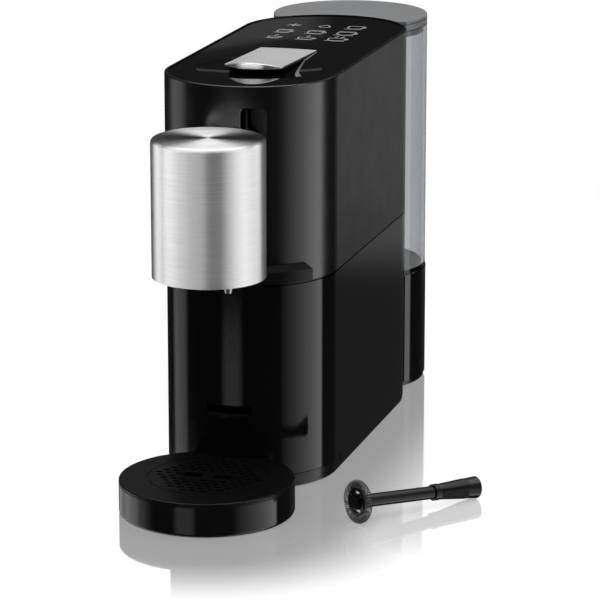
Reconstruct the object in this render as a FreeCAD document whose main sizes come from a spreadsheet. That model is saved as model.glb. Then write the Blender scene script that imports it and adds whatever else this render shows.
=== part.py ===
import FreeCAD, Part
import math
import os
import Sketcher

# Pod coffee machine with a milk-whisking head, in millimetres.
# Origin: on the worktop under the middle of the machine. Front is -Y, up is +Z.

SIZES = {
    # plan of the body: two round ends joined by flat sides
    "body_r": 61.0,
    "front_y": -71.0,
    "rear_y": 107.0,
    # gaps: between parts that come apart, between parts that run on each other, and past a cut
    "fit_gap": 0.4,
    "run_gap": 0.05,
    "overshoot": 5.0,
    "shell_wall": 2.4,
    # base
    "base_r": 60.0,
    "base_low": 0.8,
    "base_top": 4.0,
    "base_rim_top": 9.4,
    "foot_r": 6.5,
    "foot_sink": 1.2,
    "screw_r": 1.7,
    "screw_head_r": 3.2,
    "vent_y": 118.0,
    "vent_length": 44.0,
    "vent_width": 3.2,
    "vent_pitch": 8.0,
    # lower housing and the used-capsule drawer
    "lower_r": 60.5,
    "seam_low": 145.9,
    "drawer_seam_y": -59.0,
    "drawer_low": 10.0,
    "drawer_top": 145.5,
    "drawer_floor": 2.2,
    "drawer_back_y": -18.0,
    "runner_gap": 1.0,
    "grip_half": 16.5,
    "grip_low": 53.3,
    "grip_top": 60.7,
    "grip_back_y": -117.0,
    "shelf_back_y": -113.0,
    "shelf_low": 48.0,
    "shelf_top": 74.0,
    "shelf_plate": 3.0,
    "shelf_root": 0.5,
    "curl_wall": 6.4,
    "peg_root": 2.0,
    "bin_half": 42.0,
    "bin_front_y": -108.0,
    "bin_back_y": -19.0,
    "bin_top": 104.0,
    "bin_wall": 2.0,
    "bin_corner": 6.0,
    # deck between the two housings, and the upper cover
    "seam_high": 147.3,
    "seam_inset": 0.9,
    "deck_top": 149.3,
    "chute_half": 21.0,
    "chute_front_y": -54.0,
    "chute_back_y": -12.0,
    "riser_x": 40.0,
    "riser_y": 70.0,
    "riser_hole_r": 7.0,
    "rim_top": 284.3,
    "rim_round": 0.9,
    "cover_wall": 2.0,
    "ledge_low": 276.8,
    "ledge_inset": 1.8,
    "slot_left": 9.6,
    "slot_right": 26.5,
    "slot_low": 151.0,
    "slot_top": 269.0,
    "slot_round": 3.0,
    "slot_bevel": 0.6,
    "slot_cut": 22.0,
    # top panel, with its finger dish
    "panel_low": 279.8,
    "panel_top": 283.6,
    "mouth_half": 21.4,
    "mouth_front_y": -63.0,
    "mouth_back_y": 19.2,
    "dish_y": -56.0,
    "dish_r": 44.0,
    "dish_depth": 2.4,
    # lever
    "lever_half": 21.0,
    "lever_back_y": 16.0,
    "lever_nose_y": -80.0,
    "lever_nose_r": 25.5,
    "lever_low": 283.3,
    "lever_back_top": 284.6,
    "lever_back_crown": 0.3,
    "lever_nose_top": 291.0,
    "lever_crown": 3.4,
    "lip_low": 286.2,
    "lip_round": 0.6,
    "core_half": 20.4,
    "core_low": 282.8,
    "core_back_y": 6.0,
    "core_front_y": -60.0,
    "pivot_y": 14.0,
    "pivot_z": 280.2,
    "pivot_r": 1.25,
    "pin_half": 18.8,
    "crank_inner": 11.0,
    "crank_outer": 15.0,
    "crank_front_y": 2.0,
    "crank_toe_y": 0.0,
    "crank_heel_y": 6.0,
    "crank_low": 263.0,
    "crank_back": 3.0,
    "crank_bar_y": 3.0,
    "crank_bar_z": 267.0,
    "crank_bar_r": 2.0,
    "bracket_half": 28.0,
    "bracket_front_y": 4.0,
    "bracket_back_y": 25.0,
    "bracket_plate": 2.5,
    "swing_gap": 1.0,
    "ear_in": 16.2,
    "ear_thick": 2.6,
    "ear_r": 2.7,
    "ear_foot": 6.0,
    "ear_heel": 2.0,
    # brewing unit
    "frame_half": 27.5,
    "frame_wall": 3.0,
    "frame_front_y": -66.0,
    "frame_back_y": 40.0,
    "frame_top": 262.0,
    "window_front_y": -50.0,
    "window_back_y": 24.0,
    "window_low": 160.0,
    "window_top": 208.0,
    "brew_z": 238.0,
    "plate_back_y": -56.0,
    "plate_drop": 26.0,
    "face_r": 16.5,
    "face_rise": 3.0,
    "spout_inset": 5.0,
    "spout_r": 4.0,
    "spout_length": 12.0,
    "cage_r": 22.0,
    "cage_bore_r": 17.5,
    "cage_depth": 28.0,
    "cage_front_y": -50.0,
    "cage_back_y": -4.0,
    "plunger_r": 8.0,
    "plunger_length": 14.0,
    "plunger_travel": 24.0,
    "guide_r": 3.0,
    "guide_y": -12.0,
    "guide_play": 0.5,
    # heater, pump, flow meter, boards and hoses
    "heater_low": 175.0,
    "heater_top": 217.0,
    "heater_half": 24.0,
    "heater_length": 62.0,
    "rib_start": 8.0,
    "rib_gap": 4.0,
    "rib_span": 42.0,
    "rib_margin": 3.0,
    "rib_depth": 5.0,
    "heater_port_r": 4.0,
    "heater_port_rise": 9.0,
    "heater_in": 52.0,
    "heater_out": 10.0,
    "pump_y": 20.0,
    "pump_z": 30.0,
    "pump_r": 17.0,
    "saddle_half": 22.0,
    "saddle_rise": 20.0,
    "saddle_thick": 6.0,
    "saddle_front": 14.0,
    "saddle_rear": 46.0,
    "meter_x": 36.0,
    "meter_y": 92.0,
    "meter_r": 11.0,
    "meter_height": 14.0,
    "meter_hub_r": 4.0,
    "meter_hub_height": 20.0,
    "meter_port_r": 3.4,
    "meter_port_z": 12.0,
    "meter_port_length": 17.0,
    "board_thick": 1.6,
    "power_x": -46.0,
    "power_front_y": 30.0,
    "power_back_y": 110.0,
    "power_height": 80.0,
    "power_part_rise": 12.0,
    "touch_half": 33.0,
    "touch_front_y": 54.0,
    "touch_back_y": 128.0,
    "hose_r": 3.0,
    # head
    "head_y": -171.2,
    "head_r": 38.5,
    "head_low": 162.5,
    "head_top": 256.7,
    "head_wall": 1.6,
    "head_round": 2.8,
    "head_notch": 20.0,
    "head_floor_low": 163.5,
    "head_floor_top": 166.5,
    "outlet_x": 13.5,
    "outlet_low": 151.5,
    "outlet_r": 3.0,
    "outlet_bore_r": 1.2,
    "outlet_tip_r": 2.2,
    "outlet_tip": 4.0,
    "outlet_collar_r": 4.0,
    "outlet_collar": 1.5,
    "spindle_r": 9.2,
    "spindle_low": 161.5,
    "spindle_top": 185.5,
    "socket_bore_r": 7.6,
    "socket_depth": 18.0,
    "motor_r": 16.0,
    "motor_top": 212.0,
    "motor_neck_wall": 1.2,
    "motor_neck": 6.0,
    "motor_play": 0.5,
    "arm_left": 12.0,
    "arm_right": 24.0,
    "arm_top": 182.0,
    "arm_front_y": -150.0,
    "carriage_front_y": -117.0,
    "carriage_back_y": -107.0,
    "carriage_low": 160.0,
    "carriage_top": 188.0,
    "carriage_margin": 5.0,
    "rail_r": 3.0,
    "rail_y": -112.0,
    "rail_left": 8.0,
    "rail_right": 28.0,
    "tab_in_r": 61.6,
    "tab_out_r": 71.0,
    "tab_low": 150.0,
    "tab_edge_top": 157.8,
    "tab_root_top": 160.6,
    "tab_start_deg": 12.0,
    "tab_sweep_deg": 40.0,
    "hanger_left": 15.0,
    "hanger_right": 23.0,
    "hanger_front": -66.0,
    "hanger_back": -60.0,
    "hanger_low": 152.0,
    # drip tray
    "tray_y": -179.2,
    "tray_r": 59.8,
    "tray_low": 0.0,
    "tray_wall": 2.2,
    "tray_round": 2.4,
    "grid_low": 20.7,
    "grid_top": 23.7,
    "grid_round": 0.7,
    "grid_lip": 2.5,
    "grid_lip_wall": 2.0,
    "bite_r": 61.4,
    "peg_x": 14.0,
    "peg_z": 14.5,
    "peg_r": 2.2,
    "peg_length": 9.5,
    "peg_hole_y": -127.5,
    "peg_hole": 12.0,
    "sieve_y": -176.5,
    "sieve_r": 38.5,
    "ring_r": 40.6,
    "ring_width": 0.7,
    "ring_depth": 0.5,
    "drain_length": 4.6,
    "drain_width": 2.4,
    "drain_pitch_x": 7.0,
    "drain_pitch_y": 5.6,
    "drain_margin": 1.0,
    "pull_x": 10.7,
    "pull_length": 13.0,
    "pull_width": 8.0,
    # water tank and its pedestal
    "tank_y": 180.0,
    "tank_r": 58.4,
    "tank_bite_r": 62.0,
    "horn_y": 152.0,
    "tank_wall": 2.2,
    "tank_floor": 3.0,
    "tank_low": 88.4,
    "tank_top": 276.5,
    "lid_plate": 2.2,
    "plug_depth": 4.5,
    "plug_wall": 1.8,
    "lid_line": 0.8,
    "lid_line_depth": 0.7,
    "lid_line_z": 281.2,
    "pedestal_r": 59.0,
    "pedestal_bite_r": 61.4,
    "pedestal_top": 88.0,
    "pedestal_plate": 4.0,
    "rest_r": 4.0,
    "valve_y": 192.0,
    "valve_r": 6.2,
    "valve_tip_r": 4.0,
    "valve_reach": 12.0,
    "valve_taper": 3.0,
    "valve_flange_r": 9.0,
    "valve_flange": 2.0,
    "valve_cone": 6.0,
    "socket_r": 9.4,
    "socket_wall": 1.0,
    "socket_sink": 0.4,
    "socket_floor_drop": 14.0,
    "socket_floor": 2.0,
    "socket_collar": 3.0,
    "spigot_bore_r": 1.6,
    "spigot_r": 3.4,
    "spigot_length": 6.0,
    "seal_r": 0.7,
    "seal_drop": 2.0,
    "gland_z": 18.0,
    "gland_r": 7.0,
    "gland_bore_r": 3.8,
    "gland_hole": 8.0,
    "gland_inside": 6.0,
    "gland_flange": 2.0,
    "gland_stand_off": 0.2,
    # whisk, lying on the worktop beside the machine
    "whisk_x": 105.6,
    "whisk_y": -176.4,
    "whisk_turn_deg": 50.5,
    "whisk_length": 98.7,
    "wheel_r": 15.0,
    "coil_r": 2.3,
    "coil_wire_r": 0.5,
    "coil_turns": 20,
    "hub_half": 3.2,
    "hub_r": 4.0,
    "hub_sleeve_r": 5.4,
    "hub_taper": 3.0,
    "shaft_r": 4.5,
    "core_r": 3.4,
    "core_end": 84.7,
    "collar_r": 5.7,
    "collar_start": 62.0,
    "collar_end": 66.0,
    "grip_root_r": 5.0,
    "flare_r": 7.5,
    "flare_bore_r": 5.4,
    "flare_bore": 12.0,
    "notch_half": 2.0,
    "notch_length": 9.0,
    "wheel_rim": 1.6,
    "wheel_rim_half": 1.7,
    "spoke_half": 1.2,
    "spoke_root": 4.8,
}

FEET = ((0, 0), (-40, -96), (40, -96), (-46, 95), (46, 95), (-26, 208), (26, 208))
SCREWS = ((-30, -66), (30, -66), (-44, 60), (44, 60))
TANK_RESTS = ((-30, 194), (30, 194), (0, 222))
VENT_COUNT = 5
RIB_COUNT = 6
# radius, start and end of each step along the pump
PUMP_STEPS = ((17, 0, 52), (11, 52, 74), (5, 74, 90), (6, -12, 0))
# front, back, low and top of the parts on the power board
POWER_PARTS = ((36, 60, 160, 184), (68, 84, 160, 172), (68, 102, 186, 206))
DRAIN_ROWS = 6
DRAIN_COLUMNS = 6
NOTCH_COUNT = 6
SPOKE_COUNT = 4
BEND_SHARE = 0.45  # how much of a hose's shorter run goes into a bend
# corners of the hoses between their two ends
FEED_BENDS = ((36, 58, 12), (36, 62, 46), (18, 100, 50), (0, 130, 46), (0, 130, 30))
PRESSURE_BENDS = ((0, -4, 30), (40, 10, 90), (40, 70, 120), (40, 70, 190), (20, 92, 245), (0, 92, 245))
BREW_BENDS = (
    (0, 50, 252), (0, 44, 270), (-24, 26, 270), (-36, -20, 268),
    (-38, -64, 256), (-28, -86, 240), (0, -86, 238))
SAME = 1e-4  # places as near as this count as one

doc = FreeCAD.newDocument("pod_coffee_machine")
sheet = doc.addObject("Spreadsheet::Sheet", "sizes")
for row, (alias, number) in enumerate(SIZES.items(), start=1):
    sheet.set(f"A{row}", alias)
    sheet.set(f"B{row}", str(number))
    sheet.setAlias(f"B{row}", alias)
doc.recompute()

pieces = []


class Size:
    """A length or angle, with the sheet formula that it comes from."""

    def __init__(self, value, formula=None):
        self.value = float(value)
        self.formula = formula or f"({value})"

    def join(self, sign, other, value):
        return Size(value, f"({self.formula} {sign} {size(other).formula})")

    def __add__(self, other):
        return self.join("+", other, self.value + size(other).value)

    def __sub__(self, other):
        return self.join("-", other, self.value - size(other).value)

    def __mul__(self, other):
        return self.join("*", other, self.value * size(other).value)

    def __truediv__(self, other):
        return self.join("/", other, self.value / size(other).value)

    def __neg__(self):
        return size(0) - self

    __radd__ = __add__

    def __rsub__(self, other):
        return size(other) - self


def size(number):
    """Any number as a Size."""
    return number if isinstance(number, Size) else Size(number)


class Sheet:
    """The sheet's cells by name."""

    def __getattr__(self, alias):
        return Size(SIZES[alias], f"sizes.{alias}")


s = Sheet()


def bind(thing, prop, number):
    """Ties a property to the sheet formula of a Size."""
    thing.setExpression(prop, size(number).formula)


# Sketch outlines

def constrain(sk, *terms, number=None):
    """Adds one constraint, tied to the sheet where it has a number."""
    if number is None:
        sk.addConstraint(Sketcher.Constraint(*terms))
        return
    index = sk.addConstraint(Sketcher.Constraint(*terms, size(number).value))
    bind(sk, f"Constraints[{index}]", number)


def hold(sk, geo, pos, x=None, y=None):
    """Holds a point of a sketch at its distances from the sketch's origin."""
    for kind, axis, number in (("DistanceX", -2, x), ("DistanceY", -1, y)):
        if number is None:
            continue
        if abs(size(number).value) < 1e-9:
            constrain(sk, "PointOnObject", geo, pos, axis)
        else:
            constrain(sk, kind, -1, 1, geo, pos, number=number)


def point(x, y):
    return FreeCAD.Vector(size(x).value, size(y).value, 0)


def polygon(sk, corners):
    """A closed outline of straight sides."""
    ends = corners[1:] + corners[:1]
    sides = [sk.addGeometry(Part.LineSegment(point(*a), point(*b)), False) for a, b in zip(corners, ends)]
    for side, following in zip(sides, sides[1:] + sides[:1]):
        constrain(sk, "Coincident", side, 2, following, 1)
    for side, (x, y) in zip(sides, corners):
        hold(sk, side, 1, x, y)


def rectangle(sk, x0, x1, y0, y1):
    polygon(sk, [(x0, y0), (x1, y0), (x1, y1), (x0, y1)])


def disc(sk, x, y, r):
    circle = sk.addGeometry(Part.Circle(point(x, y), FreeCAD.Vector(0, 0, 1), size(r).value), False)
    hold(sk, circle, 3, x, y)
    constrain(sk, "Radius", circle, number=r)


def arc(sk, y, r, start, end):
    """An arc round a centre on the machine's middle line, from one angle to another."""
    ring = Part.Circle(point(0, y), FreeCAD.Vector(0, 0, 1), size(r).value)
    geo = sk.addGeometry(Part.ArcOfCircle(ring, start, end), False)
    hold(sk, geo, 3, 0, y)
    constrain(sk, "Radius", geo, number=r)
    return geo


def line(sk, x0, y0, x1, y1):
    return sk.addGeometry(Part.LineSegment(point(x0, y0), point(x1, y1)), False)


def stadium(sk, r):
    """The body's plan: a half circle at each end and flat sides between them."""
    r = size(r)
    front = arc(sk, s.front_y, r, math.pi, 2 * math.pi)
    right = line(sk, r, s.front_y, r, s.rear_y)
    end = Part.Circle(point(0, s.rear_y), FreeCAD.Vector(0, 0, 1), r.value)
    rear = sk.addGeometry(Part.ArcOfCircle(end, 0, math.pi), False)
    hold(sk, rear, 3, 0, s.rear_y)
    left = line(sk, -r, s.rear_y, -r, s.front_y)
    for first, second in ((front, right), (right, rear), (rear, left), (left, front)):
        constrain(sk, "Tangent", first, 2, second, 1)


def round_front(sk, r, back_y):
    """A plan that is round in front and square at the back."""
    r = size(r)
    front = arc(sk, s.front_y, r, math.pi, 2 * math.pi)
    right = line(sk, r, s.front_y, r, back_y)
    back = line(sk, r, back_y, -r, back_y)
    left = line(sk, -r, back_y, -r, s.front_y)
    constrain(sk, "Tangent", front, 2, right, 1)
    constrain(sk, "Tangent", left, 2, front, 1)
    constrain(sk, "Coincident", right, 2, back, 1)
    constrain(sk, "Coincident", back, 2, left, 1)
    constrain(sk, "Vertical", right)
    constrain(sk, "Vertical", left)
    constrain(sk, "Horizontal", back)
    hold(sk, back, 1, y=back_y)


def crescent(sk, r, bite_r, horn_y):
    """The tank's plan: a round back, and a hollow front that hugs the body's round end."""
    r, bite_r, horn_y = size(r), size(bite_r), size(horn_y)
    low = math.asin((horn_y - s.tank_y).value / r.value)
    high = math.asin((horn_y - s.rear_y).value / bite_r.value)
    outer = arc(sk, s.tank_y, r, low, math.pi - low)
    inner = arc(sk, s.rear_y, bite_r, high, math.pi - high)
    outer_x = r.value * math.cos(low)
    inner_x = bite_r.value * math.cos(high)
    right = line(sk, outer_x, horn_y, inner_x, horn_y)
    left = line(sk, -outer_x, horn_y, -inner_x, horn_y)
    for tip, end in ((right, 1), (left, 2)):
        constrain(sk, "Coincident", tip, 1, outer, end)
        constrain(sk, "Coincident", tip, 2, inner, end)
        constrain(sk, "Horizontal", tip)
        hold(sk, outer, end, y=horn_y)


def segment(sk, r, chord_y):
    """The slice of the body's front circle that lies in front of a chord."""
    low = math.asin((size(chord_y) - s.front_y).value / size(r).value)
    front = arc(sk, s.front_y, r, math.pi - low, 2 * math.pi + low)
    half = size(r).value * math.cos(low)
    chord = line(sk, half, chord_y, -half, chord_y)
    constrain(sk, "Coincident", front, 2, chord, 1)
    constrain(sk, "Coincident", chord, 2, front, 1)
    constrain(sk, "Horizontal", chord)
    hold(sk, chord, 1, y=chord_y)


def crowned_strip(sk, half, low, shoulder, crown):
    """A flat-bottomed section whose top is a shallow arc."""
    half, low, shoulder = size(half), size(low), size(shoulder)
    rise = size(crown).value
    mid = FreeCAD.Vector(0, shoulder.value + rise, 0)
    bottom = line(sk, -half, low, half, low)
    right = line(sk, half, low, half, shoulder)
    top = sk.addGeometry(Part.Arc(point(half, shoulder), mid, point(-half, shoulder)), False)
    left = line(sk, -half, shoulder, -half, low)
    constrain(sk, "Coincident", bottom, 2, right, 1)
    constrain(sk, "Coincident", right, 2, top, 1)
    constrain(sk, "Coincident", top, 2, left, 1)
    constrain(sk, "Coincident", left, 2, bottom, 1)
    hold(sk, bottom, 1, -half, low)
    hold(sk, right, 1, half, low)
    hold(sk, top, 1, half, shoulder)
    hold(sk, left, 1, -half, shoulder)
    radius = (half * half + size(crown) * crown) / (size(crown) * 2)
    constrain(sk, "Radius", top, number=radius)


def nose_corners(sk):
    """What is cut off a square-ended lever to leave its round nose."""
    side = s.lever_half + s.overshoot
    end_y = s.lever_nose_y - s.overshoot
    centre_y = s.lever_nose_y + s.lever_nose_r
    reach = math.acos((s.lever_half / s.lever_nose_r).value)
    chord_y = centre_y.value - s.lever_nose_r.value * math.sin(reach)
    nose = arc(sk, centre_y, s.lever_nose_r, math.pi + reach, 2 * math.pi - reach)
    front = line(sk, -side, end_y, side, end_y)
    right = line(sk, side, end_y, side, chord_y)
    right_chord = line(sk, side, chord_y, s.lever_half, chord_y)
    left_chord = line(sk, -s.lever_half, chord_y, -side, chord_y)
    left = line(sk, -side, chord_y, -side, end_y)
    for first, second in ((front, right), (right, right_chord), (left_chord, left), (left, front)):
        constrain(sk, "Coincident", first, 2, second, 1)
    constrain(sk, "Coincident", right_chord, 2, nose, 2)
    constrain(sk, "Coincident", left_chord, 1, nose, 1)
    for upright_side in (right, left):
        constrain(sk, "Vertical", upright_side)
    for level_side in (right_chord, left_chord):
        constrain(sk, "Horizontal", level_side)
    hold(sk, front, 1, -side, end_y)
    hold(sk, front, 2, side, end_y)
    hold(sk, nose, 1, x=-s.lever_half)
    hold(sk, nose, 2, x=s.lever_half)


def bitten_disc(sk, r, bite_r):
    """The tray's plan: a disc with the body's round front bitten out of its back."""
    r, bite_r = size(r), size(bite_r)
    apart = (s.front_y - s.tray_y).value
    along = (r.value**2 - bite_r.value**2 + apart**2) / (2 * apart)
    outer_turn = math.acos(along / r.value)
    bite_turn = math.acos((apart - along) / bite_r.value)
    up = math.pi / 2
    outer = arc(sk, s.tray_y, r, up + outer_turn, 5 * up - outer_turn)
    bite = arc(sk, s.front_y, bite_r, -up - bite_turn, -up + bite_turn)
    constrain(sk, "Coincident", outer, 1, bite, 1)
    constrain(sk, "Coincident", outer, 2, bite, 2)


# Bodies and their features

class Piece:
    """One sub-part: a body of its own, and the steps that shape it."""

    def __init__(self, label, x=0, y=0, z=0):
        self.body = doc.addObject("PartDesign::Body", label)
        self.body.Label = label
        for axis, number in (("x", x), ("y", y), ("z", z)):
            bind(self.body, f"Placement.Base.{axis}", number)
        pieces.append(self.body)

    def sketch(self, plane, level=0):
        """A sketch on a plane through the body's origin, or at a level along that plane's axis."""
        sk = self.body.newObject("Sketcher::SketchObject", "outline")
        support = [f for f in self.body.Origin.OriginFeatures if f.Role == plane + "_Plane"]
        sk.AttachmentSupport = [(support[0], "")]
        sk.MapMode = "FlatFace"
        bind(sk, "AttachmentOffset.Base.z", -size(level) if plane == "XZ" else level)
        return sk

    def add(self, kind, sk, **options):
        feature = self.body.newObject("PartDesign::" + kind, kind)
        feature.Profile = sk
        for name, value in options.items():
            setattr(feature, name, value)
        return feature

    def pad(self, sk, length, back=False):
        feature = self.add("Pad", sk, Reversed=back)
        bind(feature, "Length", length)
        doc.recompute()
        return feature

    def cut(self, sk, depth, along=False):
        """Cuts against the sketch's axis, or along it, and makes sure that something was cut."""
        before = self.body.Shape.Volume
        feature = self.add("Pocket", sk, Reversed=along, Refine=False)
        bind(feature, "Length", depth)
        doc.recompute()
        if self.body.Shape.Volume > before - 1e-3:
            raise RuntimeError(f"{self.body.Label}: a cut misses the solid")
        return feature

    def turn(self, sk, angle=360):
        feature = self.add("Revolution", sk, ReferenceAxis=(sk, ["V_Axis"]))
        bind(feature, "Angle", angle)
        doc.recompute()
        return feature

    def groove(self, sk):
        """Cuts a full turn of the sketch round its upright axis."""
        feature = self.add("Groove", sk, ReferenceAxis=(sk, ["V_Axis"]), Refine=False)
        doc.recompute()
        return feature

    def repeat(self, kind, feature, axis, count, span_name, span):
        """A row or a ring of one feature."""
        pattern = self.body.newObject("PartDesign::" + kind, kind)
        pattern.Originals = [feature]
        direction = "Axis" if kind == "PolarPattern" else "Direction"
        setattr(pattern, direction, (feature.Profile[0], [axis]))
        bind(pattern, span_name, span)
        pattern.Occurrences = count
        pattern.Refine = False
        self.body.Tip = pattern
        doc.recompute()
        return pattern

    def row(self, feature, count, span, axis="H_Axis"):
        return self.repeat("LinearPattern", feature, axis, count, "Length", span)

    def ring(self, feature, count):
        return self.repeat("PolarPattern", feature, "N_Axis", count, "Angle", 360)

    def soften(self, kind, radius, chosen):
        """Rounds or bevels the edges that a test picks out."""
        base = self.body.Tip
        names = [f"Edge{i}" for i, edge in enumerate(base.Shape.Edges, start=1) if chosen(edge)]
        feature = self.body.newObject("PartDesign::" + kind, kind)
        feature.Base = (base, names)
        bind(feature, "Radius" if kind == "Fillet" else "Size", radius)
        doc.recompute()
        return feature

    def round(self, radius, chosen):
        return self.soften("Fillet", radius, chosen)


def flat_at(edge, level):
    """Is the whole edge at one height?"""
    box = edge.BoundBox
    return abs(box.ZMin - level.value) < SAME and abs(box.ZMax - level.value) < SAME


def upright(edge):
    """Is the edge a straight vertical line?"""
    box = edge.BoundBox
    return box.XLength < SAME and box.YLength < SAME


def rod(name, r, length, x, y, z):
    """An upright cylinder that stands on a point."""
    cylinder = doc.addObject("Part::Cylinder", name)
    bind(cylinder, "Radius", r)
    bind(cylinder, "Height", length)
    for axis, number in (("x", x), ("y", y), ("z", z)):
        bind(cylinder, f"Placement.Base.{axis}", number)
    return cylinder


def gather(label, members):
    """Several like solids as one sub-part."""
    whole = doc.addObject("Part::Compound", label)
    whole.Label = label
    whole.Links = members
    pieces.append(whole)


# Base

def make_base_plate():
    """Floor of the machine: the body's plan and the tank's circle, with a raised front rim."""
    plate = Piece("base_plate")
    thick = s.base_top - s.base_low
    sk = plate.sketch("XY", s.base_low)
    stadium(sk, s.base_r)
    plate.pad(sk, thick)
    sk = plate.sketch("XY", s.base_low)
    disc(sk, 0, s.tank_y, s.tank_r - s.fit_gap)
    plate.pad(sk, thick)
    sk = plate.sketch("XY", s.base_low)
    round_front(sk, s.base_r, s.drawer_seam_y)
    plate.pad(sk, s.base_rim_top - s.base_low)
    sk = plate.sketch("XY", s.base_rim_top)
    round_front(sk, s.base_r - s.shell_wall, s.drawer_seam_y + s.shell_wall)
    plate.cut(sk, s.base_rim_top - s.base_top)
    sk = plate.sketch("XY", s.base_low)
    for x, y in FEET:
        disc(sk, x, y, s.foot_r + s.fit_gap)
    plate.cut(sk, s.foot_sink, along=True)
    sk = plate.sketch("XY", s.base_low)
    for x, y in SCREWS:
        disc(sk, x, y, s.screw_head_r + s.fit_gap)
    plate.cut(sk, thick / 2, along=True)
    sk = plate.sketch("XY", s.base_low)
    for x, y in SCREWS:
        disc(sk, x, y, s.screw_r + s.run_gap)
    plate.cut(sk, thick, along=True)
    sk = plate.sketch("XY", s.base_low)
    rectangle(sk, -s.vent_length / 2, s.vent_length / 2, s.vent_y, s.vent_y + s.vent_width)
    slit = plate.cut(sk, thick, along=True)
    plate.row(slit, VENT_COUNT, s.vent_pitch * (VENT_COUNT - 1), axis="V_Axis")


def make_base_fittings():
    """Rubber feet in their recesses, and the screws that hold the housing."""
    feet = [rod("foot", s.foot_r, s.base_low + s.foot_sink, x, y, 0) for x, y in FEET]
    gather("rubber_feet", feet)
    thick = s.base_top - s.base_low
    screws = []
    for x, y in SCREWS:
        head = rod("screw_head", s.screw_head_r, thick / 2, x, y, s.base_low)
        shank = rod("screw_shank", s.screw_r, thick, x, y, s.base_low)
        screw = doc.addObject("Part::MultiFuse", "screw")
        screw.Shapes = [head, shank]
        screws.append(screw)
    gather("base_screws", screws)


# Housings

def make_lower_housing():
    """Gloss side and rear wall of the lower half, open in front for the drawer."""
    shell = Piece("lower_housing")
    tall = s.seam_low - s.base_top
    sk = shell.sketch("XY", s.base_top)
    stadium(sk, s.lower_r)
    shell.pad(sk, tall)
    sk = shell.sketch("XY", s.seam_low)
    stadium(sk, s.lower_r - s.shell_wall)
    shell.cut(sk, tall)
    beyond = s.body_r + s.overshoot
    sk = shell.sketch("XY", s.seam_low)
    rectangle(sk, -beyond, beyond, s.front_y - beyond, s.drawer_seam_y)
    shell.cut(sk, tall)


def make_mid_deck():
    """Deck that closes the lower housing and carries the cover and the works."""
    deck = Piece("mid_deck")
    sk = deck.sketch("XY", s.seam_low)
    stadium(sk, s.lower_r - s.seam_inset)
    deck.pad(sk, s.seam_high - s.seam_low)
    sk = deck.sketch("XY", s.seam_high)
    stadium(sk, s.body_r - s.cover_wall - s.fit_gap)
    deck.pad(sk, s.deck_top - s.seam_high)
    sk = deck.sketch("XY", s.deck_top)
    rectangle(sk, -s.chute_half, s.chute_half, s.chute_front_y, s.chute_back_y)
    disc(sk, s.riser_x, s.riser_y, s.riser_hole_r)
    deck.cut(sk, s.deck_top - s.seam_low)


def make_upper_cover():
    """Satin cover of the upper half, with the head's slot in front and a ledge for the top panel."""
    cover = Piece("upper_cover")
    inner_r = s.body_r - s.cover_wall
    sk = cover.sketch("XY", s.seam_high)
    stadium(sk, s.body_r)
    cover.pad(sk, s.rim_top - s.seam_high)
    sk = cover.sketch("XY", s.rim_top)
    stadium(sk, inner_r - s.ledge_inset)
    cover.cut(sk, s.rim_top - s.seam_high)
    sk = cover.sketch("XY", s.rim_top)
    stadium(sk, inner_r)
    cover.cut(sk, s.rim_top - s.panel_low)
    sk = cover.sketch("XY", s.seam_high)
    stadium(sk, inner_r)
    cover.cut(sk, s.ledge_low - s.seam_high, along=True)
    sk = cover.sketch("XZ", s.front_y - s.body_r - s.overshoot)
    rectangle(sk, s.slot_left, s.slot_right, s.slot_low, s.slot_top)
    cover.cut(sk, s.slot_cut)
    cover.round(s.slot_round, slot_corner)
    cover.soften("Chamfer", s.slot_bevel, slot_edge)
    cover.round(s.rim_round, lambda e: flat_at(e, s.rim_top) and outer_rim(e))


def slot_corner(edge):
    """The four short edges through the cover's front at the corners of the slot."""
    box = edge.BoundBox
    beside = min(abs(box.XMin - s.slot_left.value), abs(box.XMin - s.slot_right.value)) < SAME
    ends = min(abs(box.ZMin - s.slot_low.value), abs(box.ZMin - s.slot_top.value)) < SAME
    return beside and ends and box.XLength < SAME and box.ZLength < SAME


def slot_edge(edge):
    """Edges of the slot that lie on the outside of the cover."""
    middle = edge.valueAt((edge.FirstParameter + edge.LastParameter) / 2)
    if middle.y > s.front_y.value or not 0 < middle.x < s.body_r.value / 2:
        return False
    inside_ends = s.deck_top.value < middle.z < s.panel_low.value
    return inside_ends and outer_rim(edge)


def outer_rim(edge):
    """Does the edge run along the outside of the cover?"""
    middle = edge.valueAt((edge.FirstParameter + edge.LastParameter) / 2)
    end_y = min(max(middle.y, s.front_y.value), s.rear_y.value)
    return math.hypot(middle.x, middle.y - end_y) > (s.body_r - s.cover_wall / 4).value


def make_top_panel():
    """Gloss touch panel in the cover's rim, with the capsule mouth and a finger dish under the lip."""
    panel = Piece("top_panel")
    sk = panel.sketch("XY", s.panel_low)
    stadium(sk, s.body_r - s.cover_wall - s.fit_gap)
    panel.pad(sk, s.panel_top - s.panel_low)
    sk = panel.sketch("YZ")
    bind(sk, "AttachmentOffset.Base.x", s.dish_y)
    dish_section(sk)
    panel.groove(sk)
    sk = panel.sketch("XY", s.panel_top)
    rectangle(sk, -s.mouth_half, s.mouth_half, s.mouth_front_y, s.mouth_back_y)
    panel.cut(sk, s.panel_top - s.panel_low)


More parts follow.
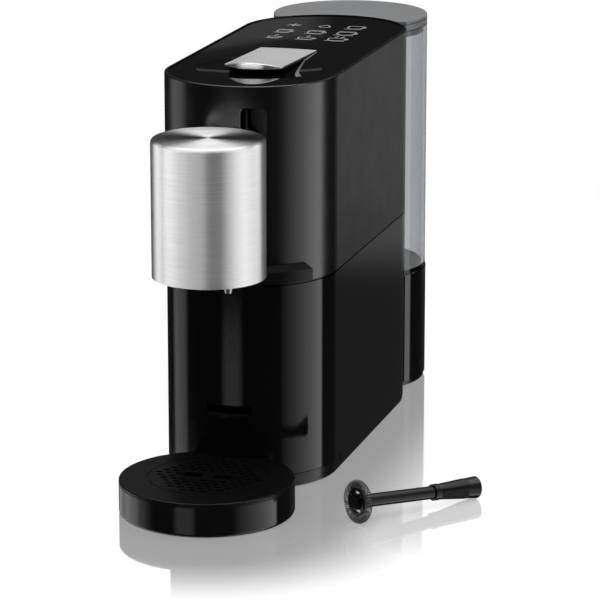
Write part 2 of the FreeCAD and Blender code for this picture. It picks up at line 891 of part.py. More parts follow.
def dish_section(sk):
    """Half of the dish's section: a shallow arc from its lowest point out to its rim."""
    bowl_r = (s.dish_r * s.dish_r + s.dish_depth * s.dish_depth) / (s.dish_depth * 2)
    lowest = s.panel_top - s.dish_depth
    above = s.panel_top + s.overshoot
    reach = math.asin((s.dish_r / bowl_r).value)
    bowl = arc(sk, lowest + bowl_r, bowl_r, -math.pi / 2, reach - math.pi / 2)
    rim = line(sk, s.dish_r, s.panel_top, s.dish_r, above)
    roof = line(sk, s.dish_r, above, 0, above)
    middle = line(sk, 0, above, 0, lowest)
    for first, second in ((bowl, rim), (rim, roof), (roof, middle), (middle, bowl)):
        constrain(sk, "Coincident", first, 2, second, 1)
    hold(sk, rim, 1, x=s.dish_r)
    hold(sk, roof, 1, s.dish_r, above)
    hold(sk, roof, 2, 0, above)
    hold(sk, bowl, 1, x=0)


# Works inside the housings

def make_brew_frame():
    """Open-fronted frame on the deck: two side plates with windows and guide slots, and a back."""
    frame = Piece("brew_frame")
    tall = s.frame_top - s.deck_top
    sk = frame.sketch("XY", s.deck_top)
    rectangle(sk, -s.frame_half, s.frame_half, s.frame_front_y, s.frame_back_y)
    frame.pad(sk, tall)
    inner = s.frame_half - s.frame_wall
    sk = frame.sketch("XY", s.frame_top)
    rectangle(sk, -inner, inner, s.frame_front_y - s.overshoot, s.frame_back_y - s.frame_wall)
    frame.cut(sk, tall)
    track = s.guide_r + s.run_gap
    track_front = s.guide_y - s.guide_r - s.guide_play
    track_back = s.guide_y + s.plunger_travel + s.guide_r + s.guide_play
    sk = frame.sketch("YZ", s.frame_half)
    rectangle(sk, s.window_front_y, s.window_back_y, s.window_low, s.window_top)
    rectangle(sk, track_front, track_back, s.brew_z - track, s.brew_z + track)
    frame.cut(sk, s.frame_half * 2)


def make_extraction_plate():
    """Block at the front of the brewing unit, with a raised round face and a spout below."""
    plate = Piece("extraction_plate")
    half = s.frame_half - s.frame_wall
    low = s.brew_z - s.plate_drop
    sk = plate.sketch("XZ", s.plate_back_y)
    rectangle(sk, -half, half, low, s.frame_top)
    plate.pad(sk, s.plate_back_y - s.frame_front_y)
    sk = plate.sketch("XZ", s.plate_back_y)
    disc(sk, 0, s.brew_z, s.face_r)
    plate.pad(sk, s.face_rise, back=True)
    sk = plate.sketch("XY", low)
    disc(sk, 0, s.frame_front_y + s.spout_inset, s.spout_r)
    plate.pad(sk, s.spout_length, back=True)


def make_capsule_cage():
    """Cup that holds the capsule and slides in the frame on two side pins."""
    cage = Piece("capsule_cage")
    sk = cage.sketch("XZ", s.cage_back_y)
    disc(sk, 0, s.brew_z, s.cage_r)
    cage.pad(sk, s.cage_back_y - s.cage_front_y)
    sk = cage.sketch("XZ", s.cage_front_y)
    disc(sk, 0, s.brew_z, s.cage_bore_r)
    cage.cut(sk, s.cage_depth)
    sk = cage.sketch("XZ", s.cage_back_y)
    disc(sk, 0, s.brew_z, s.plunger_r)
    cage.pad(sk, s.plunger_length, back=True)
    sk = cage.sketch("YZ", -s.frame_half)
    disc(sk, s.guide_y, s.brew_z, s.guide_r)
    cage.pad(sk, s.frame_half * 2)


def make_thermoblock():
    """Ribbed water heater behind the brewing unit."""
    heater = Piece("thermoblock")
    front = s.frame_back_y
    sk = heater.sketch("XY", s.heater_low)
    rectangle(sk, -s.heater_half, s.heater_half, front, front + s.heater_length)
    heater.pad(sk, s.heater_top - s.heater_low)
    rib = front + s.rib_start
    sk = heater.sketch("YZ", s.heater_half)
    rectangle(sk, rib, rib + s.rib_gap, s.heater_low + s.rib_margin, s.heater_top - s.rib_margin)
    groove = heater.cut(sk, s.rib_depth)
    heater.row(groove, RIB_COUNT, s.rib_span)
    sk = heater.sketch("XY", s.heater_top)
    for port in (s.heater_out, s.heater_in):
        disc(sk, 0, front + port, s.heater_port_r)
    heater.pad(sk, s.heater_port_rise)


def make_pump():
    """Vibration pump lying along the machine, held in two rubber saddles on the base."""
    pump = Piece("pump", 0, s.pump_y, s.pump_z)
    for r, start, end in PUMP_STEPS:
        sk = pump.sketch("XZ", end)
        disc(sk, 0, 0, r)
        pump.pad(sk, end - start)
    saddles = (("pump_saddle_front", s.saddle_front), ("pump_saddle_rear", s.saddle_rear))
    for label, along in saddles:
        saddle = Piece(label)
        sk = saddle.sketch("XZ", s.pump_y + along)
        rectangle(sk, -s.saddle_half, s.saddle_half, s.base_top, s.pump_z + s.saddle_rise)
        disc(sk, 0, s.pump_z, s.pump_r + s.run_gap)
        saddle.pad(sk, s.saddle_thick)


def make_flow_meter():
    """Small round flow meter on the base, on the way from the tank to the pump."""
    meter = Piece("flow_meter", s.meter_x, s.meter_y)
    for r, height in ((s.meter_r, s.meter_height), (s.meter_hub_r, s.meter_hub_height)):
        sk = meter.sketch("XY", s.base_top)
        disc(sk, 0, 0, r)
        meter.pad(sk, height)
    sk = meter.sketch("XZ")
    disc(sk, 0, s.meter_port_z, s.meter_port_r)
    meter.pad(sk, s.meter_port_length)


def make_boards():
    """Power board upright on the deck, and the touch board under the top panel."""
    power = Piece("power_board")
    face = s.power_x + s.board_thick
    sk = power.sketch("XY", s.deck_top)
    rectangle(sk, s.power_x, face, s.power_front_y, s.power_back_y)
    power.pad(sk, s.power_height)
    sk = power.sketch("YZ", face)
    for front, back, low, top in POWER_PARTS:
        rectangle(sk, front, back, low, top)
    power.pad(sk, s.power_part_rise)
    touch = Piece("touch_board")
    sk = touch.sketch("XY", s.panel_low)
    rectangle(sk, -s.touch_half, s.touch_half, s.touch_front_y, s.touch_back_y)
    touch.pad(sk, s.board_thick, back=True)


def make_rails():
    """Two upright rails behind the cover's slot, which guide the head."""
    for label, x in (("head_rail_left", s.rail_left), ("head_rail_right", s.rail_right)):
        rail = Piece(label, x, s.rail_y, s.deck_top)
        sk = rail.sketch("XY")
        disc(sk, 0, 0, s.rail_r)
        rail.pad(sk, s.panel_low - s.deck_top)


def bent_tube(label, r, route):
    """A hose along straight runs joined by arcs."""
    stops = [FreeCAD.Vector(*(size(c).value for c in stop)) for stop in route]
    edges = []
    start = stops[0]
    for before, corner, after in zip(stops, stops[1:], stops[2:]):
        into = corner - before
        out = after - corner
        reach = BEND_SHARE * min(into.Length, out.Length)
        into.normalize()
        out.normalize()
        first = corner - into * reach
        last = corner + out * reach
        half_turn = into.getAngle(out) / 2
        inward = out - into
        inward.normalize()
        radius = reach / math.tan(half_turn)
        middle = corner + inward * (radius / math.cos(half_turn) - radius)
        edges.append(Part.LineSegment(start, first).toShape())
        edges.append(Part.Arc(first, middle, last).toShape())
        start = last
    edges.append(Part.LineSegment(start, stops[-1]).toShape())
    path = Part.Wire(edges)
    ring = Part.Circle(stops[0], stops[1] - stops[0], size(r).value)
    tube = path.makePipeShell([Part.Wire([ring.toShape()])], True, False)
    hose = doc.addObject("Part::Feature", label)
    hose.Label = label
    hose.Shape = tube
    pieces.append(hose)


def make_hoses():
    """Water lines: flow meter to pump, pump up to the heater, heater forward to the brewing unit."""
    pump_in = (0, s.pump_y + PUMP_STEPS[2][2], s.pump_z)
    pump_out = (0, s.pump_y + PUMP_STEPS[3][1], s.pump_z)
    meter_port = (s.meter_x, s.meter_y - s.meter_port_length, s.meter_port_z)
    port_top = s.heater_top + s.heater_port_rise
    heater_in = (0, s.frame_back_y + s.heater_in, port_top)
    heater_out = (0, s.frame_back_y + s.heater_out, port_top)
    brew_in = (0, s.frame_front_y, s.brew_z)
    bent_tube("feed_hose", s.hose_r, [meter_port, *FEED_BENDS, pump_in])
    bent_tube("pressure_hose", s.hose_r, [pump_out, *PRESSURE_BENDS, heater_in])
    bent_tube("brew_hose", s.hose_r, [heater_out, *BREW_BENDS, brew_in])


# Lever

def make_lever():
    """Bright cap of the lever: a wedge that rises to a crowned lip with a round nose."""
    lever = Piece("lever_plate")
    back = lever.sketch("XZ", s.lever_back_y)
    back_shoulder = s.lever_back_top - s.lever_back_crown
    crowned_strip(back, s.lever_half, s.lever_low, back_shoulder, s.lever_back_crown)
    front = lever.sketch("XZ", s.lever_nose_y)
    crowned_strip(front, s.lever_half, s.lever_low, s.lever_nose_top - s.lever_crown, s.lever_crown)
    lever.add("AdditiveLoft", back, Sections=[front], Ruled=True)
    doc.recompute()
    sk = lever.sketch("XY", s.lever_low)
    nose_corners(sk)
    lever.cut(sk, s.lever_nose_top - s.lever_low + s.overshoot, along=True)
    side = s.lever_half + s.overshoot
    ahead = s.lever_nose_y - s.overshoot
    under = s.lever_low - s.overshoot
    sk = lever.sketch("YZ", side)
    polygon(sk, [
        (ahead, under), (s.core_back_y, under), (s.core_back_y, s.lever_low), (s.lever_nose_y, s.lip_low),
        (ahead, s.lip_low)])
    lever.cut(sk, side * 2)
    lever.round(s.lip_round, nose_edge)


def nose_edge(edge):
    """Edges along the lip of the lever, above and below its round front."""
    box = edge.BoundBox
    return box.YMin < s.core_front_y.value and box.XLength > s.lever_half.value


def make_lever_core():
    """Black body under the cap, sunk in the mouth, that stops short of the lip for a fingertip."""
    core = Piece("lever_core")
    rise = (s.lip_low - s.lever_low) / (s.core_back_y - s.lever_nose_y)
    front_top = s.lever_low + rise * (s.core_back_y - s.core_front_y)
    sk = core.sketch("YZ", -s.core_half)
    polygon(sk, [
        (s.core_back_y, s.core_low), (s.core_back_y, s.lever_low), (s.core_front_y, front_top),
        (s.core_front_y, s.core_low)])
    core.pad(sk, s.core_half * 2)


def make_lever_crank():
    """Two arms under the lever and the bar between them, which push the capsule cage."""
    crank = Piece("lever_crank")
    heel = s.pivot_y + s.crank_back
    for level in (s.crank_inner, -s.crank_outer):
        sk = crank.sketch("YZ", level)
        polygon(sk, [
            (s.crank_front_y, s.core_low), (s.crank_toe_y, s.crank_low), (s.crank_heel_y, s.crank_low),
            (heel, s.pivot_z - s.crank_back), (heel, s.pivot_z), (s.pivot_y, s.lever_low),
            (s.core_back_y, s.lever_low), (s.core_back_y, s.core_low)])
        disc(sk, s.pivot_y, s.pivot_z, s.pivot_r + s.run_gap)
        crank.pad(sk, s.crank_outer - s.crank_inner)
    sk = crank.sketch("YZ", -s.crank_outer)
    disc(sk, s.crank_bar_y, s.crank_bar_z, s.crank_bar_r)
    crank.pad(sk, s.crank_outer * 2)


def make_lever_bracket():
    """Bracket under the panel, with a round ear at each side of the mouth for the lever's pin."""
    bracket = Piece("lever_bracket")
    low = s.panel_low - s.bracket_plate
    swing_back = s.mouth_back_y + s.swing_gap
    sk = bracket.sketch("XY", low)
    rectangle(sk, -s.bracket_half, s.bracket_half, s.bracket_front_y, s.bracket_back_y)
    bracket.pad(sk, s.bracket_plate)
    between_ears = (s.ear_in, s.bracket_front_y - s.overshoot)
    behind_ears = (s.mouth_half, s.pivot_y + s.ear_heel)
    for half, front in (between_ears, behind_ears):
        sk = bracket.sketch("XY", low)
        rectangle(sk, -half, half, front, swing_back)
        bracket.cut(sk, s.bracket_plate, along=True)
    for level in (s.ear_in, -s.ear_in - s.ear_thick):
        sk = bracket.sketch("YZ", level)
        rectangle(sk, s.pivot_y - s.ear_foot, s.pivot_y + s.ear_heel, low, s.pivot_z)
        bracket.pad(sk, s.ear_thick)
        sk = bracket.sketch("YZ", level)
        disc(sk, s.pivot_y, s.pivot_z, s.ear_r)
        bracket.pad(sk, s.ear_thick)
    sk = bracket.sketch("YZ", s.bracket_half)
    disc(sk, s.pivot_y, s.pivot_z, s.pivot_r + s.run_gap)
    bracket.cut(sk, s.bracket_half * 2)

    pin = Piece("lever_pin", -s.pin_half, s.pivot_y, s.pivot_z)
    sk = pin.sketch("YZ")
    disc(sk, 0, 0, s.pivot_r)
    pin.pad(sk, s.pin_half * 2)


# Head

def make_head_shell():
    """Spun steel cup with a rounded top edge, open below and notched behind for its arm."""
    shell = Piece("head_shell", 0, s.head_y)
    inner = s.head_r - s.head_wall
    sk = shell.sketch("XZ")
    polygon(sk, [
        (0, s.head_top), (s.head_r, s.head_top), (s.head_r, s.head_low), (inner, s.head_low),
        (inner, s.head_top - s.head_wall), (0, s.head_top - s.head_wall)])
    shell.turn(sk)
    shell.round(s.head_round, lambda e: flat_at(e, s.head_top) and e.Length > s.head_r.value)
    gap = s.fit_gap
    sk = shell.sketch("XZ", s.head_r + s.overshoot)
    rectangle(sk, s.arm_left - gap, s.arm_right + gap, s.head_low - s.overshoot, s.arm_top + gap)
    shell.cut(sk, s.head_notch + s.overshoot, along=True)


def make_head_inside():
    """Floor of the head with the coffee outlet, and the whisk motor that stands on it."""
    floor = Piece("head_floor", 0, s.head_y)
    sk = floor.sketch("XY", s.head_floor_low)
    disc(sk, 0, 0, s.head_r - s.head_wall - s.run_gap)
    disc(sk, 0, 0, s.spindle_r + s.run_gap)
    disc(sk, s.outlet_x, 0, s.outlet_r + s.run_gap)
    floor.pad(sk, s.head_floor_top - s.head_floor_low)

    outlet = Piece("coffee_outlet", s.outlet_x, s.head_y)
    sk = outlet.sketch("XZ")
    collar_low = s.head_floor_low - s.outlet_collar
    polygon(sk, [
        (s.outlet_bore_r, s.outlet_low), (s.outlet_tip_r, s.outlet_low),
        (s.outlet_r, s.outlet_low + s.outlet_tip), (s.outlet_r, collar_low),
        (s.outlet_collar_r, collar_low), (s.outlet_collar_r, s.head_floor_low),
        (s.outlet_r, s.head_floor_low), (s.outlet_r, s.head_floor_top), (s.outlet_bore_r, s.head_floor_top)])
    outlet.turn(sk)

    motor = Piece("whisk_motor", 0, s.head_y)
    well = s.spindle_r + s.run_gap
    neck_r = s.spindle_r + s.motor_neck_wall
    neck_top = s.head_floor_top + s.motor_neck
    roof = s.spindle_top + s.motor_play
    sk = motor.sketch("XZ")
    polygon(sk, [
        (well, s.head_floor_top), (neck_r, s.head_floor_top), (neck_r, neck_top), (s.motor_r, neck_top),
        (s.motor_r, s.motor_top), (0, s.motor_top), (0, roof), (well, roof)])
    motor.turn(sk)


def make_spindle():
    """Turning socket under the head that takes the whisk's end."""
    spindle = Piece("whisk_spindle", 0, s.head_y)
    sk = spindle.sketch("XZ")
    mouth_end = s.spindle_low + s.socket_depth
    polygon(sk, [
        (s.socket_bore_r, s.spindle_low), (s.spindle_r, s.spindle_low), (s.spindle_r, s.spindle_top),
        (0, s.spindle_top), (0, mouth_end), (s.socket_bore_r, mouth_end)])
    spindle.turn(sk)


def make_carriage():
    """Block that runs on the rails, with an arm through the cover's slot into the head."""
    carriage = Piece("head_carriage")
    left = s.rail_left - s.carriage_margin
    right = s.rail_right + s.carriage_margin
    sk = carriage.sketch("XY", s.carriage_low)
    rectangle(sk, left, right, s.carriage_front_y, s.carriage_back_y)
    for x in (s.rail_left, s.rail_right):
        disc(sk, x, s.rail_y, s.rail_r + s.run_gap)
    carriage.pad(sk, s.carriage_top - s.carriage_low)
    sk = carriage.sketch("XY", s.head_floor_top)
    rectangle(sk, s.arm_left, s.arm_right, s.arm_front_y, s.carriage_front_y)
    carriage.pad(sk, s.arm_top - s.head_floor_top)


def make_slide_tab():
    """Thumb tab: a curved shelf that hugs the cover beside the head, hung from the arm."""
    tab = Piece("slide_tab", 0, s.front_y)
    sk = tab.sketch("XZ")
    start = SIZES["tab_start_deg"] - 90
    sk.AttachmentOffset = FreeCAD.Placement(
        FreeCAD.Vector(0, 0, 0), FreeCAD.Rotation(FreeCAD.Vector(0, 1, 0), start))
    polygon(sk, [
        (s.tab_in_r, s.tab_low), (s.tab_out_r, s.tab_low), (s.tab_out_r, s.tab_edge_top),
        (s.tab_in_r, s.tab_root_top)])
    tab.turn(sk, s.tab_sweep_deg)
    sk = tab.sketch("XY", s.hanger_low)
    rectangle(sk, s.hanger_left, s.hanger_right, s.hanger_front, s.hanger_back)
    tab.pad(sk, s.head_floor_top - s.hanger_low)


# Drawer and drip tray

def make_drawer_front():
    """Front of the lower half: a round shell on a floor, with a finger grip and the tray's pegs."""
    front = Piece("drawer_front")
    inner_r = s.lower_r - s.shell_wall
    sk = front.sketch("XY", s.drawer_low)
    round_front(sk, s.lower_r, s.drawer_seam_y - s.fit_gap)
    front.pad(sk, s.drawer_top - s.drawer_low)
    sk = front.sketch("XY", s.drawer_top)
    round_front(sk, inner_r, s.drawer_seam_y + s.overshoot)
    front.cut(sk, s.drawer_top - s.drawer_low - s.drawer_floor)
    runner = inner_r - s.runner_gap
    sk = front.sketch("XY", s.drawer_low)
    rectangle(sk, -runner, runner, s.drawer_seam_y - s.overshoot, s.drawer_back_y)
    front.pad(sk, s.drawer_floor)
    sk = front.sketch("XY", s.shelf_low)
    segment(sk, inner_r + s.shelf_root, s.shelf_back_y)
    front.pad(sk, s.shelf_top - s.shelf_low)
    ahead = s.front_y - s.lower_r - s.overshoot
    curl = s.front_y - s.lower_r + s.curl_wall
    for start, top in ((ahead, s.grip_top), (curl, s.shelf_top - s.shelf_plate)):
        sk = front.sketch("XZ", start)
        rectangle(sk, -s.grip_half, s.grip_half, s.grip_low, top)
        front.cut(sk, s.grip_back_y - start)
    sk = front.sketch("XZ", s.front_y - inner_r + s.peg_root)
    for x in (-s.peg_x, s.peg_x):
        disc(sk, x, s.peg_z, s.peg_r)
    front.pad(sk, s.peg_length)


def make_capsule_bin():
    """Bin for used capsules, standing on the drawer's floor."""
    bin_box = Piece("capsule_bin")
    floor_top = s.drawer_low + s.drawer_floor
    inside = s.bin_half - s.bin_wall
    sk = bin_box.sketch("XY", floor_top)
    rectangle(sk, -s.bin_half, s.bin_half, s.bin_front_y, s.bin_back_y)
    bin_box.pad(sk, s.bin_top - floor_top)
    sk = bin_box.sketch("XY", s.bin_top)
    rectangle(sk, -inside, inside, s.bin_front_y + s.bin_wall, s.bin_back_y - s.bin_wall)
    bin_box.cut(sk, s.bin_top - floor_top - s.bin_wall)
    bin_box.round(s.bin_corner, lambda e: upright(e) and abs(abs(e.BoundBox.XMin) - inside.value) < SAME)
    outer = s.bin_corner + s.bin_wall
    bin_box.round(outer, lambda e: upright(e) and abs(e.BoundBox.XMin) > (inside + s.bin_wall / 2).value)


def make_drip_tray():
    """Round gloss bowl in front of the body, open on top, with two holes for the drawer's pegs."""
    tray = Piece("drip_tray")
    sk = tray.sketch("XY", s.tray_low)
    bitten_disc(sk, s.tray_r, s.bite_r)
    tray.pad(sk, s.grid_low - s.tray_low)
    sk = tray.sketch("XY", s.grid_low)
    bitten_disc(sk, s.tray_r - s.tray_wall, s.bite_r + s.tray_wall)
    tray.cut(sk, s.grid_low - s.tray_low - s.tray_wall)
    sk = tray.sketch("XZ", s.peg_hole_y)
    for x in (-s.peg_x, s.peg_x):
        disc(sk, x, s.peg_z, s.peg_r + s.fit_gap)
    tray.cut(sk, s.peg_hole, along=True)
    tray.round(s.tray_round, lambda e: flat_at(e, s.tray_low))


def make_drip_grid():
    """Plate on the tray: a sieve of staggered drain slits in a fine ring, and two finger holes."""
    grid = Piece("drip_grid")
    thick = s.grid_top - s.grid_low
    lip = s.tray_wall + s.fit_gap
    lip_in = lip + s.grid_lip_wall
    sk = grid.sketch("XY", s.grid_low)
    bitten_disc(sk, s.tray_r, s.bite_r)
    grid.pad(sk, thick)
    sk = grid.sketch("XY", s.grid_low)
    bitten_disc(sk, s.tray_r - lip, s.bite_r + lip)
    grid.pad(sk, s.grid_lip, back=True)
    sk = grid.sketch("XY", s.grid_low - s.grid_lip)
    bitten_disc(sk, s.tray_r - lip_in, s.bite_r + lip_in)
    grid.cut(sk, s.grid_lip, along=True)
    cut_openings(grid, thick)
    sk = grid.sketch("XY", s.grid_top)
    disc(sk, 0, s.sieve_y, s.ring_r)
    disc(sk, 0, s.sieve_y, s.ring_r + s.ring_width)
    grid.cut(sk, s.ring_depth)
    grid.round(s.grid_round, grid_rim)


def cut_openings(grid, thick):
    """The two finger holes, then the drain slits row by row."""
    sk = grid.sketch("XY", s.grid_top)
    for x in (-s.pull_x, s.pull_x):
        slit(sk, x, s.sieve_y, s.pull_length, s.pull_width)
    grid.cut(sk, thick)
    for row in range(-DRAIN_ROWS, DRAIN_ROWS + 1):
        sk = grid.sketch("XY", s.grid_top)
        for column in drain_columns(row):
            x = s.drain_pitch_x * column
            slit(sk, x, s.sieve_y + s.drain_pitch_y * row, s.drain_length, s.drain_width)
        grid.cut(sk, thick)


def slit(sk, x, y, length, width):
    rectangle(sk, x - length / 2, x + length / 2, y - width / 2, y + width / 2)


def grid_rim(edge):
    """The outer edge of the grid's top, longer across than the edges of its ring and its holes."""
    return flat_at(edge, s.grid_top) and edge.BoundBox.XLength > (s.tray_r + s.ring_r).value


def drain_columns(row):
    """Columns of the slits in one row of the round sieve, clear of the finger holes."""
    margin = SIZES["drain_margin"]
    away = abs(row) * SIZES["drain_pitch_y"]
    reach = math.sqrt(SIZES["sieve_r"] ** 2 - (away + SIZES["drain_width"] / 2) ** 2) - margin
    pull_end = SIZES["pull_x"] + SIZES["pull_length"] / 2 + margin
    beside_holes = away < (SIZES["pull_width"] + SIZES["drain_width"]) / 2 + margin
    shift = 0.5 if row % 2 else 0
    columns = []
    for place in range(-DRAIN_COLUMNS, DRAIN_COLUMNS + 1):
        near = abs(place + shift) * SIZES["drain_pitch_x"] - SIZES["drain_length"] / 2
        if near + SIZES["drain_length"] > reach or (beside_holes and near < pull_end):
            continue
        columns.append(place + shift)
    return columns


# Water tank

def make_pedestal():
    """Gloss stand of the tank, hollow below, with a hole for the water socket and one for the gland."""
    stand = Piece("tank_pedestal")
    tall = s.pedestal_top - s.base_top
    wall = s.shell_wall
    sk = stand.sketch("XY", s.base_top)
    crescent(sk, s.pedestal_r, s.pedestal_bite_r, s.horn_y)
    stand.pad(sk, tall)
    sk = stand.sketch("XY", s.base_top)
    crescent(sk, s.pedestal_r - wall, s.pedestal_bite_r + wall, s.horn_y + wall)
    stand.cut(sk, tall - s.pedestal_plate, along=True)
    sk = stand.sketch("XY", s.pedestal_top)
    disc(sk, 0, s.valve_y, s.socket_r + s.run_gap)
    stand.cut(sk, s.pedestal_plate)
    sk = stand.sketch("XY", s.pedestal_top)
    for x, y in TANK_RESTS:
        disc(sk, x, y, s.rest_r)
    stand.pad(sk, s.tank_low - s.pedestal_top)
    sk = stand.sketch("XZ", s.tank_y + s.pedestal_r + s.overshoot)
    disc(sk, 0, s.gland_z, s.gland_r + s.run_gap)
    stand.cut(sk, s.gland_hole + s.overshoot, along=True)


def make_gland():
    """Rubber ring in the back of the pedestal, where a cord would come in."""
    gland = Piece("cord_gland", 0, s.tank_y + s.pedestal_r, s.gland_z)
    outside = s.gland_stand_off + s.gland_flange
    sk = gland.sketch("XZ", outside)
    disc(sk, 0, 0, s.gland_r + s.gland_flange)
    gland.pad(sk, s.gland_flange)
    sk = gland.sketch("XZ", s.gland_stand_off)
    disc(sk, 0, 0, s.gland_r)
    gland.pad(sk, s.gland_stand_off + s.gland_inside)
    sk = gland.sketch("XZ", outside)
    disc(sk, 0, 0, s.gland_bore_r)
    gland.cut(sk, outside + s.gland_inside, along=True)


def make_water_socket():
    """Cup in the pedestal that takes the tank's valve, with its sealing ring."""
    cup = Piece("water_socket", 0, s.valve_y)
    under = s.pedestal_top - s.pedestal_plate
    inner = s.socket_r - s.socket_wall
    bottom = under - s.socket_floor_drop
    mouth = s.pedestal_top - s.socket_sink
    collar_r = s.socket_r + s.socket_collar
    sk = cup.sketch("XZ")
    polygon(sk, [
        (s.spigot_bore_r, bottom - s.spigot_length), (s.spigot_r, bottom - s.spigot_length),
        (s.spigot_r, bottom), (s.socket_r, bottom), (s.socket_r, under - s.socket_collar),
        (collar_r, under - s.socket_collar), (collar_r, under), (s.socket_r, under), (s.socket_r, mouth),
        (inner, mouth), (inner, bottom + s.socket_floor), (s.spigot_bore_r, bottom + s.socket_floor)])
    cup.turn(sk)
    ring = doc.addObject("Part::Torus", "socket_seal")
    ring.Label = "socket_seal"
    bind(ring, "Radius1", inner - s.seal_r - s.run_gap)
    bind(ring, "Radius2", s.seal_r)
    bind(ring, "Placement.Base.y", s.valve_y)
    bind(ring, "Placement.Base.z", under - s.seal_drop)
    pieces.append(ring)


def make_tank():
    """Clear tank that hugs the body's round end, and the valve in its floor."""
    tank = Piece("tank_shell")
    wall = s.tank_wall
    floor_top = s.tank_low + s.tank_floor
    sk = tank.sketch("XY", s.tank_low)
    crescent(sk, s.tank_r, s.tank_bite_r, s.horn_y)
    tank.pad(sk, s.tank_top - s.tank_low)
    sk = tank.sketch("XY", s.tank_top)
    crescent(sk, s.tank_r - wall, s.tank_bite_r + wall, s.horn_y + wall)
    tank.cut(sk, s.tank_top - floor_top)
    sk = tank.sketch("XY", floor_top)
    disc(sk, 0, s.valve_y, s.valve_r + s.run_gap)
    tank.cut(sk, s.tank_floor)

    valve = Piece("tank_valve", 0, s.valve_y)
    tip = s.tank_low - s.valve_reach
    flange_top = floor_top + s.valve_flange
    sk = valve.sketch("XZ")
    polygon(sk, [
        (0, tip), (s.valve_tip_r, tip), (s.valve_r, tip + s.valve_taper), (s.valve_r, floor_top),
        (s.valve_flange_r, floor_top), (s.valve_flange_r, flange_top),
        (s.valve_tip_r, flange_top + s.valve_cone), (0, flange_top + s.valve_cone)])
    valve.turn(sk)


def make_tank_lid():
    """Lid that plugs into the tank, hollow below, with a fine groove at its seam and one under its top."""
    lid = Piece("tank_lid")
    sk = lid.sketch("XY", s.tank_top)
    crescent(sk, s.tank_r, s.tank_bite_r, s.horn_y)
    lid.pad(sk, s.rim_top - s.tank_top)
    plug = s.tank_wall + s.fit_gap
    sk = lid.sketch("XY", s.tank_top)
    crescent(sk, s.tank_r - plug, s.tank_bite_r + plug, s.horn_y + plug)
    lid.pad(sk, s.plug_depth, back=True)
    hollow = plug + s.plug_wall
    sk = lid.sketch("XY", s.tank_top - s.plug_depth)
    crescent(sk, s.tank_r - hollow, s.tank_bite_r + hollow, s.horn_y + hollow)
    lid.cut(sk, s.rim_top - s.lid_plate - s.tank_top + s.plug_depth, along=True)
    inside = s.lid_line_depth
    for level in (s.tank_top, s.lid_line_z):
        sk = lid.sketch("XY", level)
        crescent(sk, s.tank_r + s.overshoot, s.tank_bite_r - s.overshoot, s.horn_y - s.overshoot)
        crescent(sk, s.tank_r - inside, s.tank_bite_r + inside, s.horn_y + inside)
        lid.cut(sk, s.lid_line, along=True)
    lid.round(s.rim_round, lambda e: flat_at(e, s.rim_top))


# Whisk

def lay_whisk(thing):
    """Lays a whisk piece, made upright, on the worktop with its wheel towards the front."""
    turn = math.radians(SIZES["whisk_turn_deg"])
    drop = SIZES["wheel_r"] - SIZES["flare_r"]
    flat = math.sqrt(SIZES["whisk_length"] ** 2 - drop**2)
    axis = FreeCAD.Vector(flat * math.cos(turn), flat * math.sin(turn), -drop)
    place = FreeCAD.Vector(SIZES["whisk_x"], SIZES["whisk_y"], SIZES["wheel_r"])
    thing.Placement = FreeCAD.Placement(place, FreeCAD.Rotation(FreeCAD.Vector(0, 0, 1), axis))


def loose_piece(label):
    """A body that is free to be laid down once it is made."""
    piece = Piece(label)
    for axis in "xyz":
        piece.body.setExpression(f"Placement.Base.{axis}", None)
    return piece


def make_whisk_shaft():
    """Shaft with a hub at the wheel's end, a collar, and a thin core that carries the grip."""
    shaft = loose_piece("whisk_shaft")
    sk = shaft.sketch("XZ")
    polygon(sk, [
        (0, -s.hub_half), (s.hub_r, -s.hub_half), (s.hub_r, s.hub_half),
        (s.shaft_r, s.hub_half + s.hub_taper), (s.shaft_r, s.collar_start), (s.collar_r, s.collar_start),
        (s.collar_r, s.collar_end), (s.core_r, s.collar_end), (s.core_r, s.core_end), (0, s.core_end)])
    shaft.turn(sk)
    lay_whisk(shaft.body)


def make_whisk_grip():
    """Flared end of the whisk, notched so that the spindle can drive it."""
    grip = loose_piece("whisk_grip")
    bore = s.core_r + s.run_gap
    sk = grip.sketch("XZ")
    polygon(sk, [
        (bore, s.collar_end), (s.grip_root_r, s.collar_end), (s.flare_r, s.whisk_length),
        (s.flare_bore_r, s.whisk_length), (bore, s.whisk_length - s.flare_bore)])
    grip.turn(sk)
    sk = grip.sketch("XY", s.whisk_length)
    rectangle(sk, 0, s.flare_r + s.overshoot, -s.notch_half, s.notch_half)
    notch = grip.cut(sk, s.notch_length)
    grip.ring(notch, NOTCH_COUNT)
    lay_whisk(grip.body)


def make_whisk_wheel():
    """Spoked wheel on the hub, which the coil is wound round."""
    wheel = loose_piece("whisk_wheel")
    rim_r = s.wheel_r - s.coil_r * 2 - s.coil_wire_r * 2 - s.run_gap
    sk = wheel.sketch("XY", -s.wheel_rim_half)
    disc(sk, 0, 0, rim_r)
    disc(sk, 0, 0, rim_r - s.wheel_rim)
    wheel.pad(sk, s.wheel_rim_half * 2)
    sk = wheel.sketch("XY", -s.hub_half)
    disc(sk, 0, 0, s.hub_sleeve_r)
    disc(sk, 0, 0, s.hub_r + s.run_gap)
    wheel.pad(sk, s.hub_half * 2)
    sk = wheel.sketch("XY", -s.spoke_half)
    rectangle(sk, s.spoke_root, rim_r - s.wheel_rim / 2, -s.spoke_half, s.spoke_half)
    spoke = wheel.pad(sk, s.spoke_half * 2)
    wheel.ring(spoke, SPOKE_COUNT)
    lay_whisk(wheel.body)


